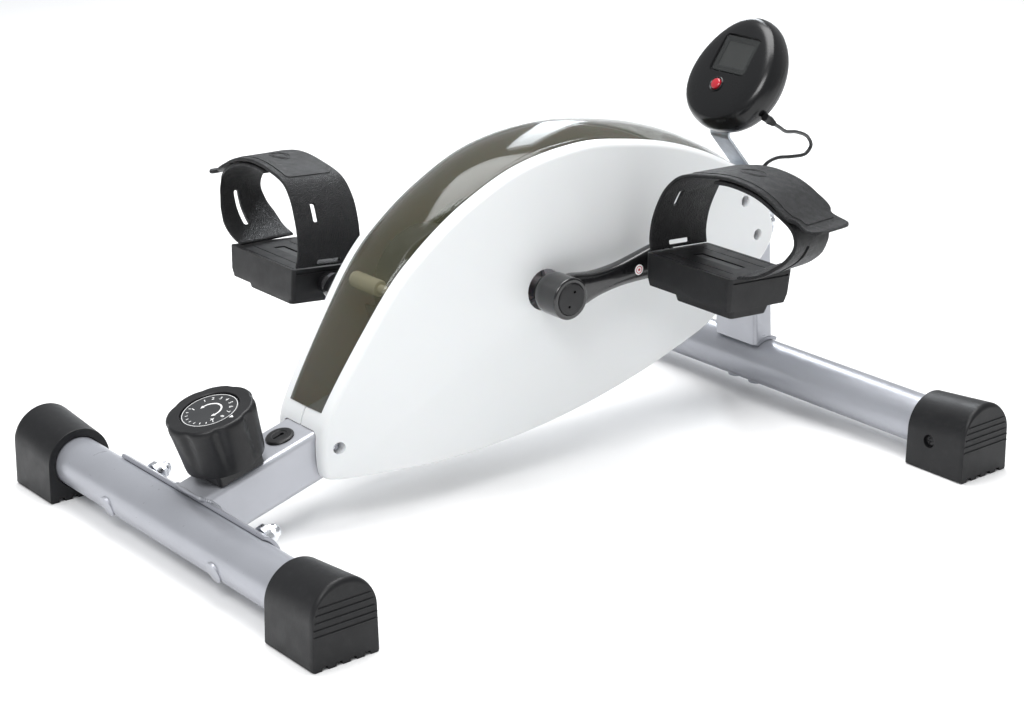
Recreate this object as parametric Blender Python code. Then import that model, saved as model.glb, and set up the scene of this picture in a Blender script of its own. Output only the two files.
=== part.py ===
"""Under-desk pedal exerciser: bent-tube frame on two stabiliser bars, a two-piece shell over a belt-driven
magnetic flywheel, crank arms with strapped pedals, a tension knob and a trip display.

Metres, +Z up. +Y runs from the knob end to the display end, +X is the right side, and the origin is on
the floor at the centre of the footprint. Run it with: blender --background --python part.py
"""

import math

import bmesh
import bpy
import numpy as np
from mathutils import Matrix, Vector

# Frame
GAP = 0.0004
BAR_RADIUS = 0.0193
BAR_WALL = 0.0018
BAR_HEIGHT = 0.0278
BAR_Y = 0.2765
FRONT_HALF = 0.2024
REAR_HALF = 0.2588
CAP_LENGTH = 0.0563
CAP_HALF_WIDTH = 0.02625
CAP_ARCH = 0.0255
CAP_OUTER_TOP = 0.0590
CAP_NOTCH_HALF = 0.0022
CAP_NOTCH_DEPTH = 0.0026
CAP_NOTCH_PITCH = 0.0110
CAP_INNER_TOP = 0.0540
SADDLE_INNER = BAR_RADIUS + GAP
SADDLE_OUTER = SADDLE_INNER + 0.0030
FRONT_SADDLE_HALF = 0.0950
FRONT_BOLT_X = 0.0725
TUBE_SLOPE = math.atan(0.282)
TUBE_HALF_WIDTH = 0.0200
TUBE_HALF_HEIGHT = 0.0190
TUBE_WALL = 0.0020
TUBE_BEND_Y = 0.1200
TUBE_END = (0.2528, 0.1500)
POST_LEAN = math.radians(3.5)
POST_HALF_WIDTH = 0.0242
POST_HALF_DEPTH = 0.0102
POST_FOOT = (0.2722, 0.0400)
POST_TOP_Z = 0.1760
POST_BOLT_X = 0.0120
POST_NUT_Z = 0.1550

# Tension knob
KNOB_FOOT = Vector((0.0, -0.2356, 0.0597))
KNOB_TILT = TUBE_SLOPE
KNOB_BASE_HALF = 0.0195
KNOB_BASE_HEIGHT = 0.0085
KNOB_HEIGHT = 0.0490
KNOB_TOP_RADIUS = 0.0327
KNOB_LOW_RADIUS = 0.0292
DIAL_RADIUS = 0.0212
KNOB_LOBES = 8
KNOB_GROOVE = 0.0017
KNOB_SHOULDER = 0.0450
GROMMET_Y = -0.1920

# Shell
SHELL_WALL = 0.0028
SEAM_HALF = 0.0005
FACE_RISE = 0.0060
FACE_CROWN = 0.0102
LIP_WIDTH = 0.0050
COVER_WALL = 0.0020
COVER_BULGE = 0.0080
CRANK_HOLE_RADIUS = 0.0158
SHELL_CENTRE = (0.0104, 0.1500)
SHELL_OUTLINE = [
    (-0.1745, 0.0500), (-0.1745, 0.0760), (-0.1692, 0.0900), (-0.1350, 0.1438), (-0.1050, 0.1834),
    (-0.0750, 0.2090), (-0.0450, 0.2278), (0.0000, 0.2469), (0.0600, 0.2548), (0.1041, 0.2502),
    (0.1418, 0.2424), (0.1729, 0.2321), (0.2000, 0.2195), (0.2260, 0.2040), (0.2420, 0.1860),
    (0.2490, 0.1680), (0.2520, 0.1500), (0.2425, 0.1343), (0.2155, 0.1120), (0.1885, 0.0901),
    (0.1440, 0.0715), (0.0981, 0.0568), (0.0474, 0.0452), (-0.0017, 0.0379), (-0.0586, 0.0340),
    (-0.1132, 0.0357), (-0.1650, 0.0398), (-0.1720, 0.0427),
]
SHELL_WIDTHS = [(-0.175, 0.0240), (-0.095, 0.0335), (0.0, 0.0372), (0.25, 0.0455)]
ARCH_FIRST, ARCH_LAST = 2, 14
SHELL_STEPS = 2
ARCH_END_GAP = 0.0006

# Crank and pedals
CRANK = Vector((0.0, 0.0104, 0.1541))
CRANK_ANGLE = 0.111
CRANK_LENGTH = 0.0963
AXLE_RADIUS = 0.0080
AXLE_HALF = 0.0785
BOSS_RADIUS = 0.0160
BOSS_IN, BOSS_OUT = 0.0560, 0.0835
BLADE_IN, BLADE_OUT = 0.0665, 0.0795
CAP_RADIUS = 0.0122
PEDAL_IN, PEDAL_OUT = 0.0919, 0.1815
PEDAL_HALF_LENGTH = 0.0315
PEDAL_HALF_HEIGHT = 0.0124
PEDAL_SLOT_IN, PEDAL_SLOT_OUT = 0.1140, 0.1600
PEDAL_SLOT_HALF = 0.0050
PEDAL_SLOT_FLOOR = 0.0092
WEIGHT_IN, WEIGHT_OUT = 0.1110, 0.1735
WEIGHT_TOP = 0.0128
WEIGHT_BASE = 0.0212
WEIGHT_HALF = 0.0200
WEIGHT_DRAFT = 0.0020
SPINDLE_RADIUS = 0.0060
RIGHT_TILT = -0.070
LEFT_TILT = -0.091
STRAP_THICKNESS = 0.0028
STRAP_HALF_WIDTH = 0.0285
STRAP_MIDDLE = 0.1633
STRAP_SKEW = 0.22
STRAP_TAPER_X = (0.2120, 0.2350, 0.2500)
STRAP_TAPER = (1.0, 0.70, 0.42)
RIGHT_SLACK = 0.96
LEFT_SLACK = 0.84
UPPER_STRAP = [
    (0.0935, 0.0135), (0.0917, 0.0218), (0.0928, 0.0360), (0.0978, 0.0508), (0.1053, 0.0638),
    (0.1170, 0.0742), (0.1412, 0.0804), (0.1633, 0.0827), (0.1866, 0.0808), (0.2016, 0.0768),
    (0.2168, 0.0700), (0.2290, 0.0645), (0.2400, 0.0612), (0.2500, 0.0605),
]
LOWER_STRAP = [
    (0.1788, 0.0144), (0.1960, 0.0185), (0.2118, 0.0268), (0.2235, 0.0365), (0.2290, 0.0475),
    (0.2260, 0.0580), (0.2150, 0.0664), (0.2000, 0.0732), (0.1866, 0.0768), (0.1633, 0.0788),
    (0.1480, 0.0776),
]

# Drive
BRACKET_TUBE_OUTER = 0.0175
BRACKET_TUBE_INNER = 0.0150
BRACKET_TUBE_HALF = 0.0325
FLYWHEEL = Vector((0.0, -0.0560, 0.1600))
FLYWHEEL_RADIUS = 0.0430
FLYWHEEL_HALF = 0.0120
PULLEY_IN, PULLEY_OUT = 0.0345, 0.0425
CRANK_PULLEY_RADIUS = 0.0500
FLYWHEEL_PULLEY_RADIUS = 0.0100
BELT_THICKNESS = 0.0015
PLATE_IN, PLATE_OUT = 0.0206, 0.0232
MAGNET_PIVOT = Vector((0.0, -0.0930, 0.1180))
MAGNET_ANGLES = (math.radians(190), math.radians(222))

# Display
DISPLAY = Vector((0.0, 0.2522, 0.2888))
DISPLAY_TILT = 0.6305
EGG_HALF_WIDTH = 0.0438
EGG_HALF_HEIGHT = 0.0494
EGG_DROP = 0.0115
EGG_STEPS = 28
DISPLAY_SEAM = 0.0200
DISPLAY_DEPTH = 0.0340
DISPLAY_WALL = 0.0022
WINDOW = (0.0376, 0.0316)
BUTTON_AT = (-0.0033, -0.0279)
BUTTON_RADIUS = 0.0047
STRIP_HALF_WIDTH = 0.0105
STRIP_THICKNESS = 0.0024
CABLE_RADIUS = 0.0015
CABLE_ROUTE = [
    (0.0415, 0.2572, 0.2385), (0.0400, 0.2646, 0.2345), (0.0370, 0.2750, 0.2289), (0.0320, 0.2928, 0.2246),
    (0.0280, 0.3100, 0.2170), (0.0265, 0.3159, 0.2085), (0.0250, 0.3115, 0.2022), (0.0230, 0.2980, 0.2015),
    (0.0210, 0.2835, 0.2025), (0.0200, 0.2740, 0.2005), (0.0195, 0.2650, 0.1945), (0.0190, 0.2550, 0.1905),
    (0.0185, 0.2468, 0.1895),
]
TENSION_ROUTE = [
    (0.0, -0.2320, 0.0550), (0.0, -0.2220, 0.0490), (0.0, -0.1900, 0.0520), (0.0, -0.1500, 0.0640),
    (0.0, -0.1150, 0.0760), (0.0, -0.1010, 0.0880), (0.0, -0.1000, 0.1050), (0.0, -0.1000, 0.1120),
]

MATERIALS = {
    "frame_paint": ((0.42, 0.42, 0.45), 0.35, 0.6),
    "black_plastic": ((0.030, 0.030, 0.033), 0.55, 0.0),
    "gloss_black": ((0.012, 0.012, 0.013), 0.12, 0.0),
    "white_plastic": ((0.82, 0.82, 0.81), 0.30, 0.0),
    "smoked_plastic": ((0.10, 0.095, 0.07), 0.08, 0.0),
    "strap_rubber": ((0.035, 0.035, 0.038), 0.60, 0.0),
    "zinc": ((0.62, 0.63, 0.66), 0.25, 1.0),
    "steel": ((0.45, 0.45, 0.47), 0.35, 1.0),
    "cream_plastic": ((0.62, 0.56, 0.38), 0.45, 0.0),
    "dial_print": ((0.10, 0.10, 0.10), 0.35, 0.0),
    "lcd_glass": ((0.20, 0.23, 0.20), 0.20, 0.0),
    "clear_lens": ((0.25, 0.25, 0.25), 0.05, 0.0),
    "red_rubber": ((0.60, 0.02, 0.02), 0.35, 0.0),
    "belt_rubber": ((0.02, 0.02, 0.02), 0.70, 0.0),
}


# Shapes are pairs of a vertex list and a face list.


def turned(profile, steps=24):
    """A (radius, height) profile turned about Z. A profile that leaves the axis is closed on itself."""
    verts = []
    faces = []
    rings = []
    for radius, height in profile:
        first = len(verts)
        if radius == 0:
            verts.append((0.0, 0.0, height))
            rings.append([first] * steps)
            continue
        for k in range(steps):
            angle = 2 * math.pi * k / steps
            verts.append((radius * math.cos(angle), radius * math.sin(angle), height))
        rings.append(list(range(first, first + steps)))
    solid = profile[0][0] == 0 and profile[-1][0] == 0
    for k in range(len(rings) - solid):
        low = rings[k]
        high = rings[(k + 1) % len(rings)]
        for i in range(steps):
            j = (i + 1) % steps
            corners = dict.fromkeys([low[i], low[j], high[j], high[i]])
            if len(corners) > 2:
                faces.append(list(corners))
    return verts, faces


def loft(rings, closed_ends=True):
    """Equal rings of points joined in order, with the first and the last filled, or joined to each other."""
    count = len(rings[0])
    verts = [tuple(point) for ring in rings for point in ring]
    faces = []
    for k in range(len(rings) - closed_ends):
        low = k * count
        high = (k + 1) % len(rings) * count
        for i in range(count):
            j = (i + 1) % count
            faces.append([low + i, low + j, high + j, high + i])
    if closed_ends:
        faces.append(list(range(count)))
        faces.append([len(verts) - 1 - i for i in range(count)])
    return verts, faces


def fan_ended(rings):
    """A loft whose two ends are fans round their middles, for ends that aren't flat."""
    verts, faces = loft(rings)
    faces = faces[:-2]
    count = len(rings[0])
    for first in (0, len(verts) - count):
        middle = len(verts)
        verts.append(tuple(np.mean(verts[first:first + count], axis=0)))
        faces += [[first + i, first + (i + 1) % count, middle] for i in range(count)]
    return verts, faces


def prism_x(outline, low, high):
    return loft([[(x, y, z) for y, z in outline] for x in (low, high)])


def prism_y(outline, low, high):
    return loft([[(x, y, z) for x, z in outline] for y in (low, high)])


def block(low, high):
    return loft([[(low[0], low[1], z), (high[0], low[1], z), (high[0], high[1], z), (low[0], high[1], z)]
                 for z in (low[2], high[2])])


def moved(shape, matrix):
    return [matrix @ Vector(v) for v in shape[0]], shape[1]


def pointing(direction, at=(0, 0, 0)):
    """The matrix that lays the Z axis along a direction, from a point."""
    turn = Vector(direction).to_track_quat("Z", "Y").to_matrix().to_4x4()
    return Matrix.Translation(Vector(at)) @ turn


def arc(centre, radius, first, last, count):
    angles = np.linspace(first, last, count)
    return [(centre[0] + radius * math.cos(a), centre[1] + radius * math.sin(a)) for a in angles]


def smooth(points, per_span, loop=False):
    """Points on a centripetal Catmull-Rom curve through these points."""
    pts = [np.array(p, float) for p in points]
    spans = len(pts) if loop else len(pts) - 1
    if not loop:
        pts = [2 * pts[0] - pts[1]] + pts + [2 * pts[-1] - pts[-2]]
    found = []
    for k in range(spans):
        span = [pts[(k + i - loop) % len(pts)] for i in range(4)]
        knots = [0.0]
        for a, b in zip(span, span[1:]):
            knots.append(knots[-1] + math.sqrt(np.linalg.norm(b - a)))
        for t in np.linspace(knots[1], knots[2], per_span, endpoint=False):
            level = span
            for reach in (1, 2, 3):
                wide = min(reach, 2)
                low = [knots[i + reach - wide] for i in range(4 - reach)]
                high = [knots[i + wide] if reach < 3 else knots[2] for i in range(4 - reach)]
                level = [(level[i] * (high[i] - t) + level[i + 1] * (t - low[i])) / (high[i] - low[i])
                         for i in range(4 - reach)]
            found.append(level[0])
    if not loop:
        found.append(pts[-2])
    return found


def normals_of(points, loop=False):
    """Unit left-hand normals of a 2-D polyline."""
    pts = np.array(points, float)
    if loop:
        along = np.roll(pts, -1, axis=0) - np.roll(pts, 1, axis=0)
    else:
        along = np.gradient(pts, axis=0)
    along /= np.linalg.norm(along, axis=1)[:, None]
    return np.stack([-along[:, 1], along[:, 0]], axis=1)


def band(path, thickness, per_span=3):
    """The outline of a strip of even thickness along a smoothed (x, z) path."""
    middle = np.array(smooth(path, per_span))
    side = normals_of(middle) * thickness / 2
    return list(map(tuple, middle + side)) + list(map(tuple, (middle - side)[::-1]))


# Objects and materials


def clear_scene():
    for obj in list(bpy.data.objects):
        bpy.data.objects.remove(obj)


def material(name):
    if name in bpy.data.materials:
        return bpy.data.materials[name]
    colour, roughness, metallic = MATERIALS[name]
    made = bpy.data.materials.new(name)
    made.use_nodes = True
    shader = made.node_tree.nodes["Principled BSDF"]
    shader.inputs["Base Color"].default_value = (*colour, 1.0)
    shader.inputs["Roughness"].default_value = roughness
    shader.inputs["Metallic"].default_value = metallic
    made.diffuse_color = (*colour, 1.0)
    return made


def make(name, shape, look, parent=None):
    mesh = bpy.data.meshes.new(name)
    mesh.from_pydata([tuple(v) for v in shape[0]], [], shape[1])
    edit = bmesh.new()
    edit.from_mesh(mesh)
    bmesh.ops.recalc_face_normals(edit, faces=edit.faces)
    edit.to_mesh(mesh)
    edit.free()
    mesh.shade_smooth()
    mesh.set_sharp_from_angle(angle=math.radians(35))
    obj = bpy.data.objects.new(name, mesh)
    bpy.context.scene.collection.objects.link(obj)
    if look:
        mesh.materials.append(material(look))
    obj.parent = parent
    return obj


def tool(name, shape, parent=None):
    """A helper solid that a Boolean uses."""
    obj = make(name, shape, None, parent)
    obj.hide_render = True
    obj.display_type = "WIRE"
    return obj


def boolean(obj, shape, operation, parent=None):
    helper = tool(f"{obj.name}_{operation.lower()}_{len(obj.modifiers)}", shape, parent)
    step = obj.modifiers.new(helper.name, "BOOLEAN")
    step.operation = operation
    step.solver = "EXACT"
    step.object = helper


def cut(obj, shape, parent=None):
    boolean(obj, shape, "DIFFERENCE", parent)


def join(obj, shape, parent=None):
    boolean(obj, shape, "UNION", parent)


def pivot(name, location, rotation=(0, 0, 0), parent=None):
    empty = bpy.data.objects.new(name, None)
    empty.empty_display_size = 0.02
    empty.location = location
    empty.rotation_euler = rotation
    bpy.context.scene.collection.objects.link(empty)
    empty.parent = parent
    return empty


def rod(start, end, radius, steps=20):
    start = Vector(start)
    length = (Vector(end) - start).length
    shape = turned([(0, 0), (radius, 0), (radius, length), (0, length)], steps)
    return moved(shape, pointing(Vector(end) - start, start))


# Frame


def rounded_section(half_width, half_height, radius, steps=3):
    """A rounded rectangle round the origin."""
    outline = []
    corners = [(1, 1, 0), (-1, 1, 90), (-1, -1, 180), (1, -1, 270)]
    for sx, sy, turn in corners:
        centre = (sx * (half_width - radius), sy * (half_height - radius))
        outline += arc(centre, radius, math.radians(turn), math.radians(turn + 90), steps)
    return outline


def tube_centre(y):
    return BAR_HEIGHT + (y + BAR_Y) * math.tan(TUBE_SLOPE)


def tube_top(y):
    return tube_centre(y) + TUBE_HALF_HEIGHT / math.cos(TUBE_SLOPE)


def tube_stations(start, beyond):
    """Centre and slope of the main tube's section at its start, at its bend and as far beyond its end."""
    bend = Vector((0, TUBE_BEND_Y, tube_centre(TUBE_BEND_Y)))
    end = Vector((0, *TUBE_END))
    rear = (end - bend).normalized()
    rear_slope = math.atan2(rear.z, rear.y)
    return [
        (Vector((0, start, tube_centre(start))), TUBE_SLOPE),
        (bend, (TUBE_SLOPE + rear_slope) / 2),
        (end + rear * beyond, rear_slope),
    ]


def tube_section_rings(start, extra, radius, beyond=0.0):
    rings = []
    for centre, slope in tube_stations(start, beyond):
        up = Vector((0, -math.sin(slope), math.cos(slope)))
        outline = rounded_section(TUBE_HALF_WIDTH + extra, TUBE_HALF_HEIGHT + extra, radius)
        rings.append([centre + Vector((u, 0, 0)) + up * v for u, v in outline])
    return rings


def main_frame_tube():
    start = -BAR_Y + 0.012
    outer = tube_section_rings(start, 0, 0.004)
    inner = tube_section_rings(start, -TUBE_WALL, 0.0022)
    tube = make("main_frame_tube", loft(outer + inner[::-1], closed_ends=False), "frame_paint")
    cut(tube, rod((-0.05, -BAR_Y, BAR_HEIGHT), (0.05, -BAR_Y, BAR_HEIGHT), SADDLE_OUTER + GAP, 48))
    up = Vector((0, -math.sin(TUBE_SLOPE), math.cos(TUBE_SLOPE)))
    for y, radius in ((KNOB_FOOT.y + 0.0036, 0.0045), (GROMMET_Y, 0.0082), (-0.1000, 0.0040)):
        top = Vector((0, y, tube_top(y)))
        cut(tube, rod(top - up * 0.006, top + up * 0.004, radius, 16))
    return tube


def stabiliser_bar(name, y, half, bolt_xs, bolt_angle):
    profile = [(BAR_RADIUS, -half), (BAR_RADIUS, half), (BAR_RADIUS - BAR_WALL, half),
               (BAR_RADIUS - BAR_WALL, -half)]
    bar = make(name, moved(turned(profile, 32), pointing((1, 0, 0), (0, y, BAR_HEIGHT))), "frame_paint")
    through = Vector((0, math.cos(bolt_angle), math.sin(bolt_angle))) * 0.03
    for x in bolt_xs:
        middle = Vector((x, y, BAR_HEIGHT))
        cut(bar, rod(middle - through, middle + through, 0.0042, 12))


def saddle(name, y, half, angle, spread, bolt_xs):
    """A curved plate on a stabiliser bar, under the tube that stands on it."""
    axis = (y, BAR_HEIGHT)
    outline = arc(axis, SADDLE_OUTER, angle - spread, angle + spread, 14)
    outline += arc(axis, SADDLE_INNER, angle + spread, angle - spread, 14)
    plate = make(name, prism_x(outline, -half, half), "frame_paint")
    out = Vector((0, math.cos(angle), math.sin(angle)))
    for x in bolt_xs:
        middle = Vector((x, y, BAR_HEIGHT))
        cut(plate, rod(middle + out * 0.012, middle + out * 0.03, 0.0042, 12))


def saddle_bolt(name, x, y, angle, washer, nut, stack):
    """A low dome-head bolt through a bar and its saddle, its washers of this height and its acorn nut."""
    head = BAR_RADIUS + GAP
    seat = SADDLE_OUTER + GAP
    profile = [
        (0, -head - 0.0014), (0.0045, -head - 0.0012), (0.0078, -head - 0.0005), (0.0080, -head),
        (0.0038, -head), (0.0038, seat), (washer, seat), (washer, seat + stack),
        (nut, seat + stack), (nut, seat + stack + 0.0055), (nut * 0.86, seat + stack + 0.0085),
        (nut * 0.45, seat + stack + 0.0108), (0, seat + stack + 0.0112),
    ]
    direction = (0, math.cos(angle), math.sin(angle))
    make(name, moved(turned(profile, 12), pointing(direction, (x, y, BAR_HEIGHT))), "zinc")


def cap_ring(x, top, draw_in=0.0):
    """The foot cap's D-shaped section, notched along its underside and drawn in where its end is rounded."""
    ring = arc((0, top - CAP_ARCH), CAP_ARCH - draw_in, 0, math.pi, 12)
    ring.append((-CAP_HALF_WIDTH, 0))
    for k in range(4):
        low = (k - 1.5) * CAP_NOTCH_PITCH - CAP_NOTCH_HALF
        high = low + 2 * CAP_NOTCH_HALF
        ring += [(low, 0), (low, CAP_NOTCH_DEPTH), (high, CAP_NOTCH_DEPTH), (high, 0)]
    ring.append((CAP_HALF_WIDTH, 0))
    return [(x, y, z) for y, z in ring]


def foot_cap(name, side, y, half):
    inner = half - CAP_LENGTH
    rings = [cap_ring(side * inner, CAP_INNER_TOP), cap_ring(side * (half - 0.0070), CAP_OUTER_TOP),
             cap_ring(side * (half - 0.0020), CAP_OUTER_TOP, 0.0015),
             cap_ring(side * half, CAP_OUTER_TOP, 0.0040)]
    cap = make(name, moved(loft(rings), Matrix.Translation((0, y, 0))), "black_plastic")
    start = side * (inner - 0.002)
    end = side * (half - 0.010)
    cut(cap, rod((start, y, BAR_HEIGHT), (end, y, BAR_HEIGHT), BAR_RADIUS + 2 * GAP, 24))
    hollow = sorted((start, side * (half - 0.014)))
    cut(cap, block((hollow[0], y - 0.0175, 0.0042), (hollow[1], y + 0.0175, 0.0200)))


def frame():
    stabiliser_bar("front_stabiliser_tube", -BAR_Y, FRONT_HALF - 0.012, (-FRONT_BOLT_X, FRONT_BOLT_X), 0.33)
    stabiliser_bar("rear_stabiliser_tube", BAR_Y, REAR_HALF - 0.012, (-POST_BOLT_X, POST_BOLT_X),
                   math.pi / 2 + POST_LEAN)
    for end, y, half in (("front", -BAR_Y, FRONT_HALF), ("rear", BAR_Y, REAR_HALF)):
        for side_name, side in (("right", 1), ("left", -1)):
            foot_cap(f"{end}_{side_name}_foot_cap", side, y, half)
    saddle("front_saddle_plate", -BAR_Y, FRONT_SADDLE_HALF, 0.33, 0.85, (-FRONT_BOLT_X, FRONT_BOLT_X))
    rear_angle = math.pi / 2 + POST_LEAN
    saddle("rear_saddle_plate", BAR_Y, POST_HALF_WIDTH, rear_angle, 0.55, (-POST_BOLT_X, POST_BOLT_X))
    for side_name, side in (("right", 1), ("left", -1)):
        saddle_bolt(f"front_saddle_bolt_{side_name}", side * FRONT_BOLT_X, -BAR_Y, 0.33, 0.0090, 0.0064, 0.0050)
        saddle_bolt(f"rear_post_bolt_{side_name}", side * POST_BOLT_X, BAR_Y, rear_angle, 0.0044, 0.0042,
                    0.0014)
    main_frame_tube()
    rear_post()


def post_point(z):
    """The centre line of the leaning rear post at a height."""
    return Vector((0, POST_FOOT[0] - (z - POST_FOOT[1]) * math.tan(POST_LEAN), z))


def post_ring(z, inset, radius):
    centre = post_point(z)
    outline = rounded_section(POST_HALF_WIDTH - inset, POST_HALF_DEPTH - inset, radius)
    return [centre + Vector((u, v, 0)) for u, v in outline]


def rear_post():
    outer = [post_ring(POST_FOOT[1], 0, 0.003), post_ring(POST_TOP_Z, 0, 0.003)]
    inner = [post_ring(POST_TOP_Z, TUBE_WALL, 0.0015), post_ring(POST_FOOT[1], TUBE_WALL, 0.0015)]
    post = make("rear_post", loft(outer + inner, closed_ends=False), "frame_paint")
    cut(post, rod((-0.05, BAR_Y, BAR_HEIGHT), (0.05, BAR_Y, BAR_HEIGHT), SADDLE_OUTER + GAP, 48))
    centre = post_point(POST_NUT_Z)
    cut(post, rod(centre - Vector((0.04, 0, 0)), centre + Vector((0.04, 0, 0)), 0.0034, 12))


def tube_grommet():
    up = Vector((0, -math.sin(TUBE_SLOPE), math.cos(TUBE_SLOPE)))
    top = Vector((0, GROMMET_Y, tube_top(GROMMET_Y)))
    profile = [(0, -0.0050), (0.0076, -0.0050), (0.0076, GAP), (0.0107, GAP), (0.0107, 0.0012),
               (0.0098, 0.0021), (0, 0.0021)]
    make("tube_grommet", moved(turned(profile, 28), pointing(up, top)), "black_plastic")


# Tension knob


def tension_knob():
    rotation = (KNOB_TILT, 0, 0)
    seat = pivot("knob_seat", KNOB_FOOT, rotation)
    outline = rounded_section(KNOB_BASE_HALF, KNOB_BASE_HALF, 0.003)
    base = make("knob_base", loft([[(u, v, z) for u, v in outline] for z in (0, KNOB_BASE_HEIGHT)]),
                "black_plastic", seat)
    join(base, turned([(0, KNOB_BASE_HEIGHT - 0.002), (0.0050, KNOB_BASE_HEIGHT - 0.002),
                       (0.0050, KNOB_HEIGHT - 0.0040), (0, KNOB_HEIGHT - 0.0040)], 20), seat)
    turner = pivot("knob_axis", KNOB_FOOT, rotation)
    low = KNOB_BASE_HEIGHT + 0.0006
    deck = KNOB_HEIGHT - 0.0034
    verts, faces = turned([(0.0056, low), (KNOB_LOW_RADIUS, low), (KNOB_TOP_RADIUS - 0.0008, 0.0370),
                           (KNOB_TOP_RADIUS, 0.0395), (KNOB_TOP_RADIUS, 0.0440),
                           (KNOB_TOP_RADIUS - 0.0030, KNOB_HEIGHT), (DIAL_RADIUS + 0.0006, KNOB_HEIGHT),
                           (DIAL_RADIUS + 0.0006, deck), (0.0056, deck)], 48)
    scalloped = []
    for x, y, z in verts:
        radius = math.hypot(x, y)
        between = 0.5 - 0.5 * math.cos(KNOB_LOBES * math.atan2(y, x))
        grooved = radius > KNOB_LOW_RADIUS - 0.001 and z < KNOB_SHOULDER
        depth = KNOB_GROOVE * between**3 if grooved else 0
        scalloped.append((x * (1 - depth / radius), y * (1 - depth / radius), z))
    make("knob_grip", (scalloped, faces), "black_plastic", turner)
    make("dial_plate", turned([(0, deck + 0.0004), (DIAL_RADIUS, deck + 0.0004), (DIAL_RADIUS, deck + 0.0024),
                               (0, deck + 0.0024)], 40), "dial_print", seat)


# Shell


def shell_half_width(y):
    ys, widths = zip(*SHELL_WIDTHS)
    return float(np.interp(y, ys, widths))


def shell_outline():
    """The rim's outline, and for each point whether the see-through cover lies along it."""
    points = smooth(SHELL_OUTLINE, SHELL_STEPS, loop=True)
    first = ARCH_FIRST * SHELL_STEPS
    last = ARCH_LAST * SHELL_STEPS
    before = points[first - 1] - points[first]
    after = points[last + 1] - points[last]
    points.insert(last + 1, points[last] + after * ARCH_END_GAP / np.linalg.norm(after))
    points.insert(first, points[first] + before * ARCH_END_GAP / np.linalg.norm(before))
    return np.array(points), [first < i <= last + 1 for i in range(len(points))]


def shell_rings(side):
    """Rings of one side cover, from the middle of its outer face over the rim to its inner face."""
    outline, arch = shell_outline()
    inward = -normals_of(outline, loop=True)
    centre = np.array(SHELL_CENTRE)
    if ((centre - outline) * inward).sum() < 0:
        inward = -inward
    count = len(outline)
    edge = [shell_half_width(y) for y, _ in outline]
    fillet = outline + inward * 0.0050

    def crowned(scale):
        ring = centre + (fillet - centre) * scale
        crown = FACE_RISE + FACE_CROWN * (1 - scale**2)
        return [(shell_half_width(y) + crown, y, z) for y, z in ring]

    scales = (0.40, 0.78)
    outer = [crowned(s) for s in scales]
    shoulder = crowned(1.0)
    chamfer = outline + inward * 0.0014
    soft = [(edge[i] + FACE_RISE * 0.62, *chamfer[i]) for i in range(count)]
    rim = [(edge[i], *outline[i]) for i in range(count)]
    reach = [edge[i] - LIP_WIDTH if arch[i] else SEAM_HALF for i in range(count)]
    lip = [(reach[i], *outline[i]) for i in range(count)]
    inner_outline = outline + inward * SHELL_WALL
    lip_inside = [(reach[i], *inner_outline[i]) for i in range(count)]
    rim_inside = [(edge[i] - 0.0008, *inner_outline[i]) for i in range(count)]
    deep_outline = outline + inward * 0.0058
    shoulder_inside = [(edge[i] + FACE_RISE - SHELL_WALL, *deep_outline[i]) for i in range(count)]
    inner = [[(x - SHELL_WALL, y, z) for x, y, z in crowned(s)] for s in reversed(scales)]
    rings = outer + [shoulder, soft, rim, lip, lip_inside, rim_inside, shoulder_inside] + inner
    return [[(side * x, y, z) for x, y, z in ring] for ring in rings]


def side_cover(name, side):
    cover = make(name, fan_ended(shell_rings(side)), "white_plastic")
    hole = rod((side * 0.030, CRANK.y, CRANK.z), (side * 0.070, CRANK.y, CRANK.z), CRANK_HOLE_RADIUS, 40)
    cut(cover, hole)
    cut(cover, loft(tube_section_rings(-0.2000, 0.0006, 0.0042, beyond=0.02)))


def smoked_top_cover():
    """The see-through strip that closes the arch between the two side covers."""
    outline, arch = shell_outline()
    outward = normals_of(outline, loop=True)
    if ((np.array(SHELL_CENTRE) - outline) * outward).sum() > 0:
        outward = -outward
    first = arch.index(True)
    last = first + sum(arch) - 1
    across = np.linspace(-1, 1, 7)

    def layer(sink):
        rows = []
        for i in range(first, last + 1):
            y = outline[i][0]
            half = shell_half_width(y) - LIP_WIDTH - 0.0006
            fade = min(1, (i - first + 1) / 4, (last - i + 1) / 4)
            row = []
            for u in across:
                rise = COVER_BULGE * fade * (1 - u**2) - sink
                place = outline[i] + outward[i] * rise
                row.append((u * half, *place))
            rows.append(row)
        return rows

    top = layer(0)
    under = layer(COVER_WALL)
    rings = [top_row + under_row[::-1] for top_row, under_row in zip(top, under)]
    make("smoked_top_cover", loft(rings), "smoked_plastic")


def cover_standoff():
    profile = [(0, -0.0245), (0.0062, -0.0245), (0.0062, 0.0080), (0.0034, 0.0080), (0.0034, 0.0245),
               (0, 0.0245)]
    make("cover_standoff", moved(turned(profile, 20), pointing((1, 0, 0), (0, -0.1060, 0.1672))),
         "cream_plastic")


def shell():
    side_cover("right_side_cover", 1)
    side_cover("left_side_cover", -1)
    smoked_top_cover()
    cover_standoff()


# Drive


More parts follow.
